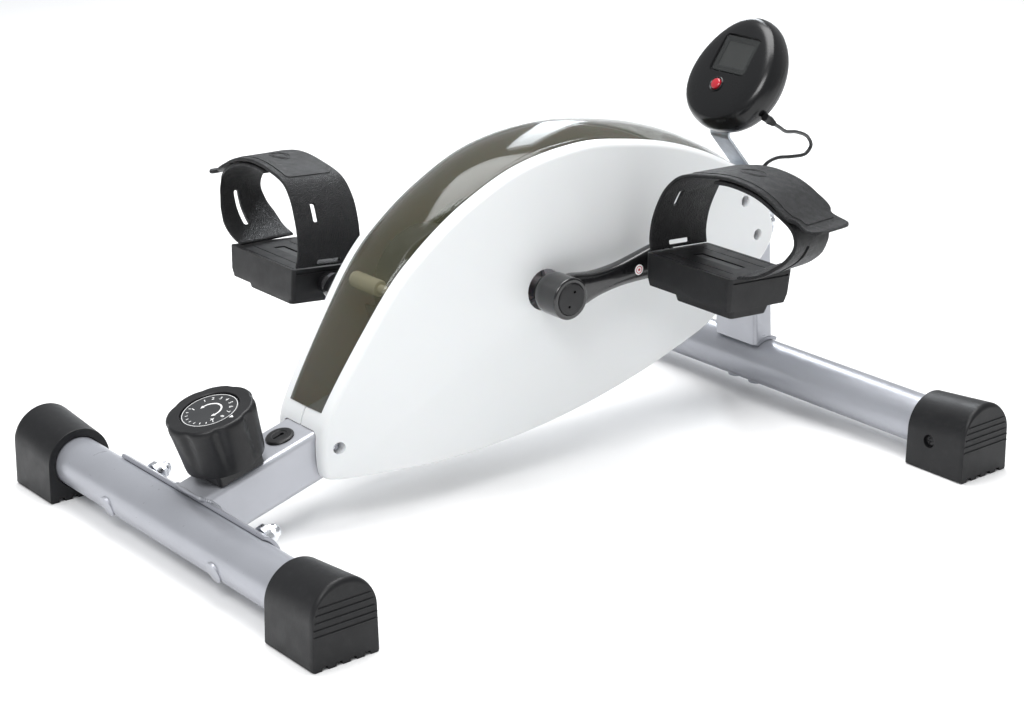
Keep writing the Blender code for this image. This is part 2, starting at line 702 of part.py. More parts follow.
def bottom_bracket():
    y, z = CRANK.y, CRANK.z
    middle = pointing((1, 0, 0), CRANK)
    solid = [(0, -BRACKET_TUBE_HALF), (BRACKET_TUBE_OUTER, -BRACKET_TUBE_HALF),
             (BRACKET_TUBE_OUTER, BRACKET_TUBE_HALF), (0, BRACKET_TUBE_HALF)]
    bracket = make("bottom_bracket_shell", moved(turned(solid, 32), middle), "frame_paint")
    front, back = y - 0.013, y + 0.013
    foot = [(front, tube_top(front) + GAP), (back, tube_top(back) + GAP), (back, z - 0.004), (front, z - 0.004)]
    join(bracket, prism_x(foot, -0.017, 0.017))
    cut(bracket, rod((-0.04, y, z), (0.04, y, z), BRACKET_TUBE_INNER, 32))
    for name, side in (("right_crank_bearing", 1), ("left_crank_bearing", -1)):
        ring = [(AXLE_RADIUS + GAP, 0.0250), (BRACKET_TUBE_INNER - GAP, 0.0250),
                (BRACKET_TUBE_INNER - GAP, 0.0320), (AXLE_RADIUS + GAP, 0.0320)]
        make(name, moved(turned(ring, 24), pointing((side, 0, 0), CRANK)), "steel")


def pulley_profile(radius, bore):
    """A belt wheel between two low flanges, from x = -PULLEY_OUT to -PULLEY_IN."""
    low = -PULLEY_OUT
    high = -PULLEY_IN
    seat = radius - BELT_THICKNESS / 2 - GAP
    return [(bore, low), (seat + 0.0012, low), (seat + 0.0012, low + 0.0010), (seat, low + 0.0012),
            (seat, high - 0.0012), (seat + 0.0012, high - 0.0010), (seat + 0.0012, high), (bore, high)]


def belt_loop(offset):
    """The belt's outline, offset from the line that its middle follows: two arcs and two straight runs."""
    big = CRANK_PULLEY_RADIUS
    small = FLYWHEEL_PULLEY_RADIUS
    gap = Vector((FLYWHEEL.y - CRANK.y, FLYWHEEL.z - CRANK.z))
    heading = math.atan2(gap.y, gap.x)
    wrap = math.acos((big - small) / gap.length)
    around_big = arc((CRANK.y, CRANK.z), big + offset, heading + wrap, heading + 2 * math.pi - wrap, 24)
    around_small = arc((FLYWHEEL.y, FLYWHEEL.z), small + offset, heading - wrap, heading + wrap, 9)
    return around_big + around_small


def drive_belt():
    low = -PULLEY_OUT + 0.0016
    high = -PULLEY_IN - 0.0016
    outer = belt_loop(BELT_THICKNESS / 2)
    inner = belt_loop(-BELT_THICKNESS / 2)
    loops = ((low, outer), (high, outer), (high, inner), (low, inner))
    rings = [[(x, y, z) for y, z in loop] for x, loop in loops]
    make("drive_belt", loft(rings, closed_ends=False), "belt_rubber")


def flywheel_bracket():
    """Two plates on the main tube that carry the flywheel axle and the magnet pivot, tied by a bridge."""
    wheel = (FLYWHEEL.y, FLYWHEEL.z)
    hinge = (MAGNET_PIVOT.y, MAGNET_PIVOT.z)
    outline = [(-0.045, tube_centre(-0.045)), *arc(wheel, 0.0110, -0.2, 2.4, 8),
               *arc(hinge, 0.0070, 2.2, 4.2, 6), (-0.090, tube_centre(-0.090))]
    plate = make("flywheel_bracket", prism_x(outline, PLATE_IN, PLATE_OUT), "steel")
    join(plate, prism_x(outline, -PLATE_OUT, -PLATE_IN))
    bridge = [(-0.078, tube_top(-0.078) + GAP), (-0.060, tube_top(-0.060) + GAP),
              (-0.060, tube_top(-0.060) + 0.0030), (-0.078, tube_top(-0.078) + 0.0030)]
    join(plate, prism_x(bridge, -PLATE_IN - 0.001, PLATE_IN + 0.001))
    for centre, radius in ((FLYWHEEL, 0.0054), (MAGNET_PIVOT, 0.0030)):
        reach = Vector((0.03, 0, 0))
        cut(plate, rod(centre - reach, centre + reach, radius, 16))


def magnet_brake():
    hinge = pivot("magnet_axis", MAGNET_PIVOT)
    to_local = Matrix.Translation(-MAGNET_PIVOT)
    wheel = (FLYWHEEL.y, FLYWHEEL.z)
    first, last = MAGNET_ANGLES
    gap_radius = FLYWHEEL_RADIUS + 0.0025
    shoe = arc(wheel, gap_radius + 0.0066, first, last, 8) + arc(wheel, gap_radius + 0.0044, last, first, 8)
    bracket = make("magnet_bracket", moved(prism_x(shoe, -0.0110, 0.0110), to_local), "steel", hinge)
    ear_x = 0.0110
    low = (MAGNET_PIVOT.y, MAGNET_PIVOT.z)
    high_a = arc(wheel, gap_radius + 0.0050, last - 0.16, last, 2)
    ear = arc(low, 0.0055, math.pi, 2 * math.pi + 0.6, 10) + [
        (high_a[1][0] + 0.003, high_a[1][1] + 0.0005), (high_a[0][0] - 0.0006, high_a[0][1])]
    join(bracket, moved(prism_x(ear, -ear_x - 0.0015, ear_x + 0.0015), to_local), hinge)
    join(bracket, rod((-0.0226, 0, 0), (0.0226, 0, 0), 0.0026, 12), hinge)
    block_arc = arc(wheel, gap_radius + 0.0040, first + 0.05, last - 0.22, 7)
    block_arc += arc(wheel, gap_radius, last - 0.22, first + 0.05, 7)
    make("brake_magnet", moved(prism_x(block_arc, -0.0090, 0.0090), to_local), "steel", hinge)


def flywheel():
    axis = pivot("flywheel_axis", FLYWHEEL)
    along_x = pointing((1, 0, 0))
    bore = 0.0050 + GAP
    rim = 0.0080
    wheel = [(bore, -0.0170), (0.0110, -0.0170), (0.0110, -0.0050), (FLYWHEEL_RADIUS - rim, -0.0050),
             (FLYWHEEL_RADIUS - rim, -FLYWHEEL_HALF), (FLYWHEEL_RADIUS, -FLYWHEEL_HALF),
             (FLYWHEEL_RADIUS, FLYWHEEL_HALF), (FLYWHEEL_RADIUS - rim, FLYWHEEL_HALF),
             (FLYWHEEL_RADIUS - rim, 0.0050), (0.0110, 0.0050), (0.0110, 0.0170), (bore, 0.0170)]
    make("flywheel", moved(turned(wheel, 28), along_x), "steel", axis)
    make("flywheel_axle", rod((-PULLEY_OUT, 0, 0), (0.0260, 0, 0), 0.0050, 16), "steel", axis)
    make("flywheel_pulley", moved(turned(pulley_profile(FLYWHEEL_PULLEY_RADIUS, bore), 18), along_x),
         "black_plastic", axis)


def speed_sensor():
    make("speed_sensor", block((-0.0322, 0.0440, 0.1120), (-TUBE_HALF_WIDTH - GAP, 0.0560, 0.1240)),
         "black_plastic")


def cord(name, route, radius, look, per_span):
    curve = bpy.data.curves.new(name, "CURVE")
    curve.dimensions = "3D"
    curve.bevel_depth = radius
    curve.bevel_resolution = 2
    curve.use_fill_caps = True
    points = smooth(route, per_span)
    spline = curve.splines.new("POLY")
    spline.points.add(len(points) - 1)
    for point, place in zip(spline.points, points):
        point.co = (*place, 1.0)
    curve.materials.append(material(look))
    bpy.context.scene.collection.objects.link(bpy.data.objects.new(name, curve))


def drive():
    bottom_bracket()
    drive_belt()
    flywheel_bracket()
    magnet_brake()
    flywheel()
    speed_sensor()
    cord("tension_cable", TENSION_ROUTE, 0.0012, "belt_rubber", 2)


# Crank and pedals


def blade_outline(side):
    """The crank arm seen from its outer side: waisted beside the boss, wider and round at the pedal eye."""
    widths = [(0.006, 0.0142), (0.016, 0.0130), (0.030, 0.0100), (0.050, 0.0090), (0.070, 0.0104),
              (0.086, 0.0122)]
    upper = [tuple(p) for p in smooth(widths, 2)]
    eye = arc((CRANK_LENGTH, 0), 0.0128, 1.25, -1.25, 9)
    lower = [(y, -w) for y, w in reversed(upper)]
    return [(side * y, z) for y, z in upper + eye + lower]


def crank_arm(name, side, crank):
    """side is 1 on the right, whose arm points to +Y, and -1 on the left."""
    arm = make(name, prism_x(blade_outline(side), *sorted((side * BLADE_IN, side * BLADE_OUT))),
               "black_plastic", crank)
    join(arm, rod((side * BOSS_IN, 0, 0), (side * BOSS_OUT, 0, 0), BOSS_RADIUS, 28), crank)
    cut(arm, rod((side * 0.050, 0, 0), (side * 0.082, 0, 0), AXLE_RADIUS + GAP, 20), crank)
    cut(arm, rod((side * 0.0792, 0, 0), (side * 0.090, 0, 0), CAP_RADIUS + GAP, 24), crank)
    eye = side * CRANK_LENGTH
    cut(arm, rod((side * 0.060, eye, 0), (side * 0.090, eye, 0), 0.0072, 20), crank)


def crank_cap(name, side, crank):
    profile = [(0, 0.0796), (CAP_RADIUS, 0.0796), (CAP_RADIUS, 0.0836), (CAP_RADIUS - 0.0008, 0.0844),
               (0, 0.0844)]
    make(name, moved(turned(profile, 24), pointing((side, 0, 0))), "black_plastic", crank)


def pedal_spindle(name, side, crank):
    """The threaded spindle in the crank's eye, with its flange and the pin that the pedal turns on."""
    profile = [(0, 0.0660), (0.0068, 0.0660), (0.0068, BLADE_OUT + GAP), (0.0090, BLADE_OUT + GAP),
               (0.0090, 0.0855), (SPINDLE_RADIUS, 0.0855), (SPINDLE_RADIUS, 0.1700), (0, 0.1700)]
    shape = moved(turned(profile, 20), pointing((side, 0, 0), (0, side * CRANK_LENGTH, 0)))
    make(name, shape, "steel", crank)


def pedal_rings(side):
    """The pedal block, drafted a little narrower at its underside."""
    rings = []
    for z, draft in ((-PEDAL_HALF_HEIGHT, 0.0022), (-0.006, 0.0008), (PEDAL_HALF_HEIGHT, 0.0)):
        low, high = sorted((side * (PEDAL_IN + draft), side * (PEDAL_OUT - draft)))
        long = PEDAL_HALF_LENGTH - draft
        middle = (low + high) / 2
        outline = rounded_section((high - low) / 2, long, 0.003)
        rings.append([(middle + u, v, z) for u, v in outline])
    return rings


def pedal(side_name, side, tilt, slack, crank):
    spindle = pivot(f"{side_name}_pedal_axis", (0, side * CRANK_LENGTH, 0), (tilt - CRANK_ANGLE, 0, 0), crank)
    body = make(f"{side_name}_pedal_body", loft(pedal_rings(side)), "black_plastic", spindle)
    join(body, rod((side * 0.0863, 0, 0), (side * 0.0940, 0, 0), 0.0085, 24), spindle)
    cut(body, rod((side * 0.080, 0, 0), (side * 0.1712, 0, 0), SPINDLE_RADIUS + GAP, 20), spindle)
    low, high = sorted((side * PEDAL_SLOT_IN, side * PEDAL_SLOT_OUT))
    cut(body, block((low, -PEDAL_SLOT_HALF, PEDAL_SLOT_FLOOR), (high, PEDAL_SLOT_HALF, 0.0200)), spindle)
    low, high = sorted((side * WEIGHT_IN, side * WEIGHT_OUT))
    rings = []
    for draft, z in ((0, -WEIGHT_TOP), (WEIGHT_DRAFT, -WEIGHT_BASE)):
        a, b, w = low + draft, high - draft, WEIGHT_HALF - draft
        rings.append([(a, -w, z), (b, -w, z), (b, w, z), (a, w, z)])
    make(f"{side_name}_pedal_weight", loft(rings), "black_plastic", spindle)
    for part, path in (("upper", UPPER_STRAP), ("lower", LOWER_STRAP)):
        make(f"{side_name}_{part}_strap", strap_shape(side, path, slack), "strap_rubber", spindle)


def strap_shape(side, path, slack):
    """A strap half: its outer part hangs a little askew, bulges by the slack, and its tail narrows."""
    verts, faces = prism_y(band(path, STRAP_THICKNESS), -STRAP_HALF_WIDTH, STRAP_HALF_WIDTH)
    shaped = []
    for x, y, z in verts:
        taper = float(np.interp(x, STRAP_TAPER_X, STRAP_TAPER))
        askew = STRAP_SKEW * float(np.interp(x, (0.100, 0.150), (0, 1)))
        reach = min(x, STRAP_MIDDLE) + max(x - STRAP_MIDDLE, 0) * slack
        shaped.append((side * reach - askew * y * taper, y * taper, z))
    return shaped, faces


def crank_set():
    crank = pivot("crank_axis", CRANK, (CRANK_ANGLE, 0, 0))
    make("crank_axle", rod((-AXLE_HALF, 0, 0), (AXLE_HALF, 0, 0), AXLE_RADIUS, 24), "steel", crank)
    pulley = pulley_profile(CRANK_PULLEY_RADIUS, AXLE_RADIUS + GAP)
    make("crank_pulley", moved(turned(pulley, 32), pointing((1, 0, 0))), "black_plastic", crank)
    sides = (("right", 1, RIGHT_TILT, RIGHT_SLACK), ("left", -1, LEFT_TILT, LEFT_SLACK))
    for side_name, side, tilt, slack in sides:
        crank_arm(f"{side_name}_crank_arm", side, crank)
        crank_cap(f"{side_name}_crank_cap", side, crank)
        pedal_spindle(f"{side_name}_pedal_spindle", side, crank)
        pedal(side_name, side, tilt, slack, crank)


# Display


def egg(scale, depth, inset=0.0):
    """The display's outline at one depth behind its front, in its own frame: x, up, and out of its face."""
    ring = []
    for k in range(EGG_STEPS):
        angle = 2 * math.pi * k / EGG_STEPS
        half_width = EGG_HALF_WIDTH * scale - inset
        half_height = EGG_HALF_HEIGHT * scale - inset
        x = half_width * math.cos(angle) * (1 - 0.12 * math.sin(angle))
        ring.append((x, half_height * math.sin(angle) - EGG_DROP, -depth))
    return ring


def display_front(seat):
    outer = [egg(0.80, 0), egg(0.90, 0.0018), egg(0.97, 0.0060), egg(1.0, 0.0130), egg(0.985, DISPLAY_SEAM)]
    inner = [egg(0.985, DISPLAY_SEAM, DISPLAY_WALL), egg(0.93, 0.0080, DISPLAY_WALL),
             egg(0.78, DISPLAY_WALL, DISPLAY_WALL)]
    front = make("display_front_housing", loft(outer + inner), "gloss_black", seat)
    cut(front, block((-WINDOW[0] / 2, -WINDOW[1] / 2, -0.010), (WINDOW[0] / 2, WINDOW[1] / 2, 0.010)), seat)
    x, up = BUTTON_AT
    cut(front, rod((x, up, -0.010), (x, up, 0.010), BUTTON_RADIUS + GAP, 24), seat)


def display_back(seat):
    seam = DISPLAY_SEAM + GAP
    outer = [egg(0.985, seam), egg(0.93, 0.0255), egg(0.80, 0.0305), egg(0.55, DISPLAY_DEPTH)]
    inner = [egg(0.52, DISPLAY_DEPTH - DISPLAY_WALL), egg(0.76, 0.0285, 0.0010), egg(0.90, 0.0245, 0.0014),
             egg(0.985, seam, DISPLAY_WALL)]
    rings = outer + inner
    verts, faces = loft(rings, closed_ends=False)
    outside = EGG_STEPS * (len(outer) - 1)
    inside = EGG_STEPS * len(outer)
    faces = faces[:outside] + faces[inside:]
    faces += [list(range(outside, inside)), list(range(inside + EGG_STEPS - 1, inside - 1, -1))]
    back = make("display_back_cover", (verts, faces), "gloss_black", seat)
    slot = STRIP_HALF_WIDTH + 0.0008
    cut(back, block((-slot, -0.0750, -0.0268), (slot, -0.0350, -0.0218)), seat)


def display_small_parts(seat):
    half = (WINDOW[0] / 2 - GAP, WINDOW[1] / 2 - GAP)
    make("display_lens", block((-half[0], -half[1], -0.0016), (half[0], half[1], -0.0004)), "clear_lens", seat)
    make("lcd_panel", block((-half[0], -half[1], -0.0060), (half[0], half[1], -0.0024)), "lcd_glass", seat)
    button = pivot("button_axis", (BUTTON_AT[0], BUTTON_AT[1], 0), parent=seat)
    profile = [(0, -0.0055), (0.0062, -0.0055), (0.0062, -0.0035), (BUTTON_RADIUS, -0.0035),
               (BUTTON_RADIUS, 0.0016), (BUTTON_RADIUS - 0.0014, 0.0026), (0, 0.0030)]
    make("reset_button", turned(profile, 24), "red_rubber", button)


def display_bracket(seat):
    """A saddle over the post's top, and the bent strip that the display slides onto."""
    top = post_point(POST_TOP_Z)
    crown = POST_TOP_Z + GAP
    wide = POST_HALF_WIDTH + GAP
    thick = 0.0018
    front = top.y - 0.0096
    back = top.y + 0.0125
    bracket = make("display_bracket", block((-wide - thick, front, crown), (wide + thick, back, crown + thick)),
                   "zinc")
    for side in (1, -1):
        low, high = sorted((side * wide, side * (wide + thick)))
        join(bracket, block((low, front, 0.1420), (high, back, crown + thick * 0.7)))
    nut_centre = post_point(POST_NUT_Z)
    cut(bracket, rod(nut_centre - Vector((0.04, 0, 0)), nut_centre + Vector((0.04, 0, 0)), 0.0034, 12))
    up = Vector((0, math.sin(DISPLAY_TILT), math.cos(DISPLAY_TILT)))
    out = Vector((0, -math.cos(DISPLAY_TILT), math.sin(DISPLAY_TILT)))
    tongue = [DISPLAY + up * (-k) - out * 0.0243 for k in (0.0600, 0.0400)]
    path = [(0.2625, crown + 0.0008), (0.2622, 0.1960), (tongue[0].y, tongue[0].z), (tongue[1].y, tongue[1].z)]
    middle = np.array(path)
    spread = np.array([[1.0, 0.0], [0.93, 0.42], [0.90, 0.05], [up.z, -up.y]]) * STRIP_THICKNESS / 2
    strip = list(map(tuple, middle + spread)) + list(map(tuple, (middle - spread)[::-1]))
    join(bracket, prism_x(strip, -STRIP_HALF_WIDTH, STRIP_HALF_WIDTH))


def post_through_bolt():
    seat = POST_HALF_WIDTH + 0.0018 + 2 * GAP
    profile = [(0, -seat - 0.0045), (0.0060, -seat - 0.0045), (0.0060, -seat), (0.0030, -seat), (0.0030, seat),
               (0.0075, seat), (0.0075, seat + 0.0014), (0.0058, seat + 0.0014), (0.0058, seat + 0.0062),
               (0.0050, seat + 0.0088), (0.0026, seat + 0.0108), (0, seat + 0.0112)]
    make("post_through_bolt", moved(turned(profile, 18), pointing((1, 0, 0), post_point(POST_NUT_Z))), "zinc")


def display_cable():
    route = [Vector(p) for p in CABLE_ROUTE]
    cord("display_cable", CABLE_ROUTE, CABLE_RADIUS, "black_plastic", 3)
    start = route[0] + (route[0] - route[1]).normalized() * GAP
    back = (route[0] - route[1]).normalized() * 0.0085 + Vector((-0.0015, 0, 0.0010))
    profile = [(0, 0), (0.0022, 0), (0.0034, back.length), (0, back.length)]
    make("cable_strain_relief", moved(turned(profile, 14), pointing(back, start)), "black_plastic")
    end = route[-1]
    inward = (route[-1] - route[-2]).normalized()
    profile = [(0, GAP), (0.0045, GAP), (0.0055, 0.0030), (0, 0.0030)]
    make("cable_grommet", moved(turned(profile, 16), pointing(inward, end)), "black_plastic")


def display():
    seat = pivot("display_seat", DISPLAY, (math.pi / 2 - DISPLAY_TILT, 0, 0))
    display_front(seat)
    display_back(seat)
    display_small_parts(seat)
    display_bracket(seat)
    post_through_bolt()
    display_cable()


def main():
    clear_scene()
    frame()
    tube_grommet()
    tension_knob()
    shell()
    drive()
    crank_set()
    display()


main()
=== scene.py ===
"""Looks of the under-desk pedal exerciser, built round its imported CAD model.

Metres, +Z up, +Y from the knob end to the display end, +X the side that faces the camera.
"""

from math import atan, atan2, cos, hypot, pi, radians, sin, sqrt, tan

import bmesh
import bpy
import numpy as np
from mathutils import Matrix, Vector


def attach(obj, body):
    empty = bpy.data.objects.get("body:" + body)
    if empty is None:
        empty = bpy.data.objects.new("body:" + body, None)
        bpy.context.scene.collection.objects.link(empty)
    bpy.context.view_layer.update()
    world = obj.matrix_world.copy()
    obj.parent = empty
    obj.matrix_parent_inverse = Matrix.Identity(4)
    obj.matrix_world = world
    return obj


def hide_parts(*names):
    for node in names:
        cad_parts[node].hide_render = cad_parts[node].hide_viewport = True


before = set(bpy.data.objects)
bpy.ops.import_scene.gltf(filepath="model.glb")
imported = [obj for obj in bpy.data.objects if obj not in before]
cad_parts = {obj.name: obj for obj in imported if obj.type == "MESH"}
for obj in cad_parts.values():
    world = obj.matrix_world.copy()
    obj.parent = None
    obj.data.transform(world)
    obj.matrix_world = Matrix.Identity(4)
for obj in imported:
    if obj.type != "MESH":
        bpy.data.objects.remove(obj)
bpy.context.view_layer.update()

# Camera

CAMERA_PLACE = (1.2671, -0.9950, 0.6658)
CAMERA_RIGHT = (0.6269, 0.7791, -0.0041)
CAMERA_UP = (-0.2584, 0.2129, 0.9423)
CAMERA_BACK = (0.7350, -0.5897, 0.3348)
CAMERA_LENS = 78.7


def make_camera():
    data = bpy.data.cameras.new("camera")
    data.sensor_width = 36.0
    data.lens = CAMERA_LENS
    camera = bpy.data.objects.new("camera", data)
    bpy.context.scene.collection.objects.link(camera)
    turn = Matrix((CAMERA_RIGHT, CAMERA_UP, CAMERA_BACK)).transposed().to_4x4()
    camera.matrix_world = Matrix.Translation(CAMERA_PLACE) @ turn
    bpy.context.scene.camera = camera


# Dimensions, as in the CAD model

GAP = 0.0004
BAR_RADIUS = 0.0193
BAR_WALL = 0.0018
BAR_HEIGHT = 0.0278
BAR_Y = 0.2765
FRONT_HALF = 0.2024
REAR_HALF = 0.2588
CAP_LENGTH = 0.0563
CAP_HALF_WIDTH = 0.02625
CAP_ARCH = 0.0255
CAP_OUTER_TOP = 0.0590
CAP_ROLL = 0.0040
CAP_SCREW = (0.0042, 0.0018)
CAP_SCREW_AT = (0.0346, 0.0248)
CAP_SCREW_RECESS = 0.0052
CAP_RIBS = (0.0245, 0.0292, 0.0341, 0.0392, 0.0440)
CAP_NOTCH_HALF = 0.0022
CAP_NOTCH_DEPTH = 0.0026
CAP_NOTCH_PITCH = 0.0110
CAP_INNER_TOP = 0.0540
SADDLE_INNER = BAR_RADIUS + GAP
SADDLE_OUTER = SADDLE_INNER + 0.0030
FRONT_SADDLE_HALF = 0.0950
FRONT_BOLT_X = 0.0725
FRONT_BOLT_TILT = 0.33
FRONT_SADDLE_SPREAD, REAR_SADDLE_SPREAD = 0.85, 0.55
TUBE_SLOPE = atan(0.282)
TUBE_HALF_WIDTH = 0.0200
TUBE_HALF_HEIGHT = 0.0190
TUBE_WALL = 0.0020
TUBE_BEND_Y = 0.1200
TUBE_END = (0.2528, 0.1500)
POST_LEAN = radians(3.5)
POST_HALF_WIDTH = 0.0242
POST_HALF_DEPTH = 0.0102
POST_FOOT = (0.2722, 0.0400)
POST_TOP_Z = 0.1760
POST_BOLT_X = 0.0120
POST_NUT_Z = 0.1550
KNOB_FOOT = Vector((0.0, -0.2356, 0.0597))
KNOB_BASE_HALF = 0.0195
KNOB_BASE_HEIGHT = 0.0085
KNOB_HEIGHT = 0.0490
KNOB_TOP_RADIUS = 0.0327
KNOB_LOW_RADIUS = 0.0292
KNOB_LOBES = 8
KNOB_GROOVE = 0.0020
KNOB_FACET = 0.0008
KNOB_BORE = 0.0056
DIAL_RADIUS = 0.0212
GROMMET_Y = -0.1920
SHELL_WALL = 0.0028
SEAM_HALF = 0.0005
FACE_RISE = 0.0060
FACE_CROWN = 0.0102
FACE_FILLET = 0.0050
LIP_WIDTH = 0.0050
COVER_WALL = 0.0020
COVER_BULGE = 0.0080
COVER_RIB = 0.0006
COVER_RIB_FROM = 0.93
COVER_RIB_ROWS = 3
CRANK_HOLE_RADIUS = 0.0158
SHELL_CENTRE = (0.0104, 0.1500)
SHELL_OUTLINE = [
    (-0.1745, 0.0500), (-0.1745, 0.0760), (-0.1692, 0.0900), (-0.1350, 0.1438), (-0.1050, 0.1834),
    (-0.0750, 0.2090), (-0.0450, 0.2278), (0.0000, 0.2469), (0.0600, 0.2548), (0.1041, 0.2502),
    (0.1418, 0.2424), (0.1729, 0.2321), (0.2000, 0.2195), (0.2260, 0.2040), (0.2420, 0.1860),
    (0.2490, 0.1680), (0.2520, 0.1500), (0.2425, 0.1343), (0.2155, 0.1120), (0.1885, 0.0901),
    (0.1440, 0.0715), (0.0981, 0.0568), (0.0474, 0.0452), (-0.0017, 0.0379), (-0.0586, 0.0340),
    (-0.1132, 0.0357), (-0.1650, 0.0398), (-0.1720, 0.0427),
]
SHELL_WIDTHS = [(-0.175, 0.0240), (-0.095, 0.0335), (0.0, 0.0372), (0.25, 0.0455)]
ARCH_FIRST, ARCH_LAST = 2, 14
SHELL_STEPS = 8
ARCH_END_GAP = 0.0006
COVER_SCREW = (0.0036, 0.0017)
COVER_SCREW_RECESS = 0.0046
COVER_SCREWS = [(-0.1626, 0.0654), (0.2173, 0.1843), (0.2319, 0.1542)]
STANDOFF = (-0.1060, 0.1672)
CRANK = Vector((0.0, 0.0104, 0.1541))
CRANK_ANGLE = 0.111
CRANK_LENGTH = 0.0963
AXLE_RADIUS = 0.0080
BOSS_RADIUS = 0.0160
BOSS_IN, BOSS_OUT = 0.0560, 0.0835
BLADE_IN, BLADE_OUT = 0.0665, 0.0795
CRANK_CAP_RADIUS = 0.0122
EYE_RADIUS = 0.0128
PEDAL_IN, PEDAL_OUT = 0.0919, 0.1815
PEDAL_HALF_LENGTH = 0.0315
PEDAL_HALF_HEIGHT = 0.0124
PEDAL_SLOT_IN, PEDAL_SLOT_OUT = 0.1140, 0.1600
PEDAL_SLOT_HALF = 0.0050
PEDAL_SLOT_FLOOR = 0.0092
WEIGHT_IN, WEIGHT_OUT = 0.1110, 0.1735
WEIGHT_TOP = 0.0128
WEIGHT_BASE = 0.0212
SPINDLE_RADIUS = 0.0060
STRAP_THICKNESS = 0.0028
STRAP_HALF_WIDTH = 0.0285
STRAP_MIDDLE = 0.1633
STRAP_SKEW = 0.22
STRAP_EDGE = 0.0012
STRAP_RIM, STRAP_RIM_RISE = 0.0032, 0.00018
UPPER_STRAP = [
    (0.0935, 0.0135), (0.0917, 0.0218), (0.0928, 0.0360), (0.0978, 0.0508), (0.1053, 0.0638),
    (0.1170, 0.0742), (0.1412, 0.0804), (0.1633, 0.0827), (0.1866, 0.0808), (0.2016, 0.0768),
    (0.2168, 0.0700), (0.2290, 0.0645), (0.2400, 0.0612), (0.2500, 0.0605),
]
LOWER_STRAP = [
    (0.1788, 0.0144), (0.1960, 0.0185), (0.2118, 0.0268), (0.2235, 0.0365), (0.2290, 0.0475),
    (0.2260, 0.0580), (0.2150, 0.0664), (0.2000, 0.0732), (0.1866, 0.0768), (0.1633, 0.0788),
    (0.1480, 0.0776),
]
UPPER_TAPER = [
    (0.2100, 1.00), (0.2160, 1.03), (0.2210, 1.02), (0.2250, 0.97), (0.2275, 0.86), (0.2290, 0.81),
    (0.2320, 0.80), (0.2370, 0.86), (0.2420, 0.88), (0.2460, 0.84), (0.2485, 0.74), (0.2500, 0.56),
]
LOWER_TAPER = [(0.2060, 1.00), (0.2120, 0.98), (0.2235, 0.85), (0.2290, 0.76)]
FLYWHEEL = Vector((0.0, -0.0560, 0.1600))
FLYWHEEL_RADIUS = 0.0430
FLYWHEEL_HALF = 0.0120
DISPLAY = Vector((0.0, 0.2522, 0.2888))
DISPLAY_TILT = 0.6305
EGG_HALF_WIDTH = 0.0438
EGG_HALF_HEIGHT = 0.0494
EGG_DROP = 0.0115
EGG_STEPS = 96
DISPLAY_SEAM = 0.0200
DISPLAY_DEPTH = 0.0340
DISPLAY_WALL = 0.0022
WINDOW = (0.0376, 0.0316)
BUTTON_AT = (-0.0033, -0.0279)
BUTTON_RADIUS = 0.0047
STRIP_HALF_WIDTH = 0.0105
STRIP_THICKNESS = 0.0024
CABLE_RADIUS = 0.0015
CABLE_ROUTE = [
    (0.0415, 0.2572, 0.2385), (0.0400, 0.2646, 0.2345), (0.0370, 0.2750, 0.2289), (0.0320, 0.2928, 0.2246),
    (0.0280, 0.3100, 0.2170), (0.0265, 0.3159, 0.2085), (0.0250, 0.3115, 0.2022), (0.0230, 0.2980, 0.2015),
    (0.0210, 0.2835, 0.2025), (0.0200, 0.2740, 0.2005), (0.0195, 0.2650, 0.1945), (0.0190, 0.2550, 0.1905),
    (0.0185, 0.2468, 0.1895),
]

# The material slot of each look, unless its piece says otherwise.

SLOTS = {
    **dict.fromkeys(("silver_paint", "silver_tube", "weld_metal"), "frame_paint"),
    **dict.fromkeys(("crank_paint", "cap_plastic", "knob_plastic", "pedal_plastic", "insert_plastic",
                     "plain_black", "red_ink"), "black_plastic"),
    **dict.fromkeys(("zinc", "bracket_zinc"), "zinc"),
    **dict.fromkeys(("steel", "turned_steel"), "steel"),
    **dict.fromkeys(("gloss_black", "bezel_black"), "gloss_black"),
    **dict.fromkeys(("white_plastic",), "white_plastic"),
    **dict.fromkeys(("cream_plastic",), "cream_plastic"),
    **dict.fromkeys(("white_ink", "dial_print"), "dial_print"),
    **dict.fromkeys(("red_button",), "red_rubber"),
    **dict.fromkeys(("strap_rubber", "strap_patch"), "strap_rubber"),
    **dict.fromkeys(("smoked_plastic",), "smoked_plastic"),
    **dict.fromkeys(("clear_lens",), "clear_lens"),
}

# Shapes are pairs of a vertex list and a face list.


def turned(profile, steps=96):
    """A (radius, height) profile turned about Z. A profile that leaves the axis is closed on itself."""
    verts = []
    faces = []
    rings = []
    for radius, height in profile:
        first = len(verts)
        if radius == 0:
            verts.append((0.0, 0.0, height))
            rings.append([first] * steps)
            continue
        for k in range(steps):
            angle = 2 * pi * k / steps
            verts.append((radius * cos(angle), radius * sin(angle), height))
        rings.append(list(range(first, first + steps)))
    solid = profile[0][0] == 0 and profile[-1][0] == 0
    for k in range(len(rings) - solid):
        low = rings[k]
        high = rings[(k + 1) % len(rings)]
        for i in range(steps):
            j = (i + 1) % steps
            corners = dict.fromkeys([low[i], low[j], high[j], high[i]])
            if len(corners) > 2:
                faces.append(list(corners))
    return verts, faces


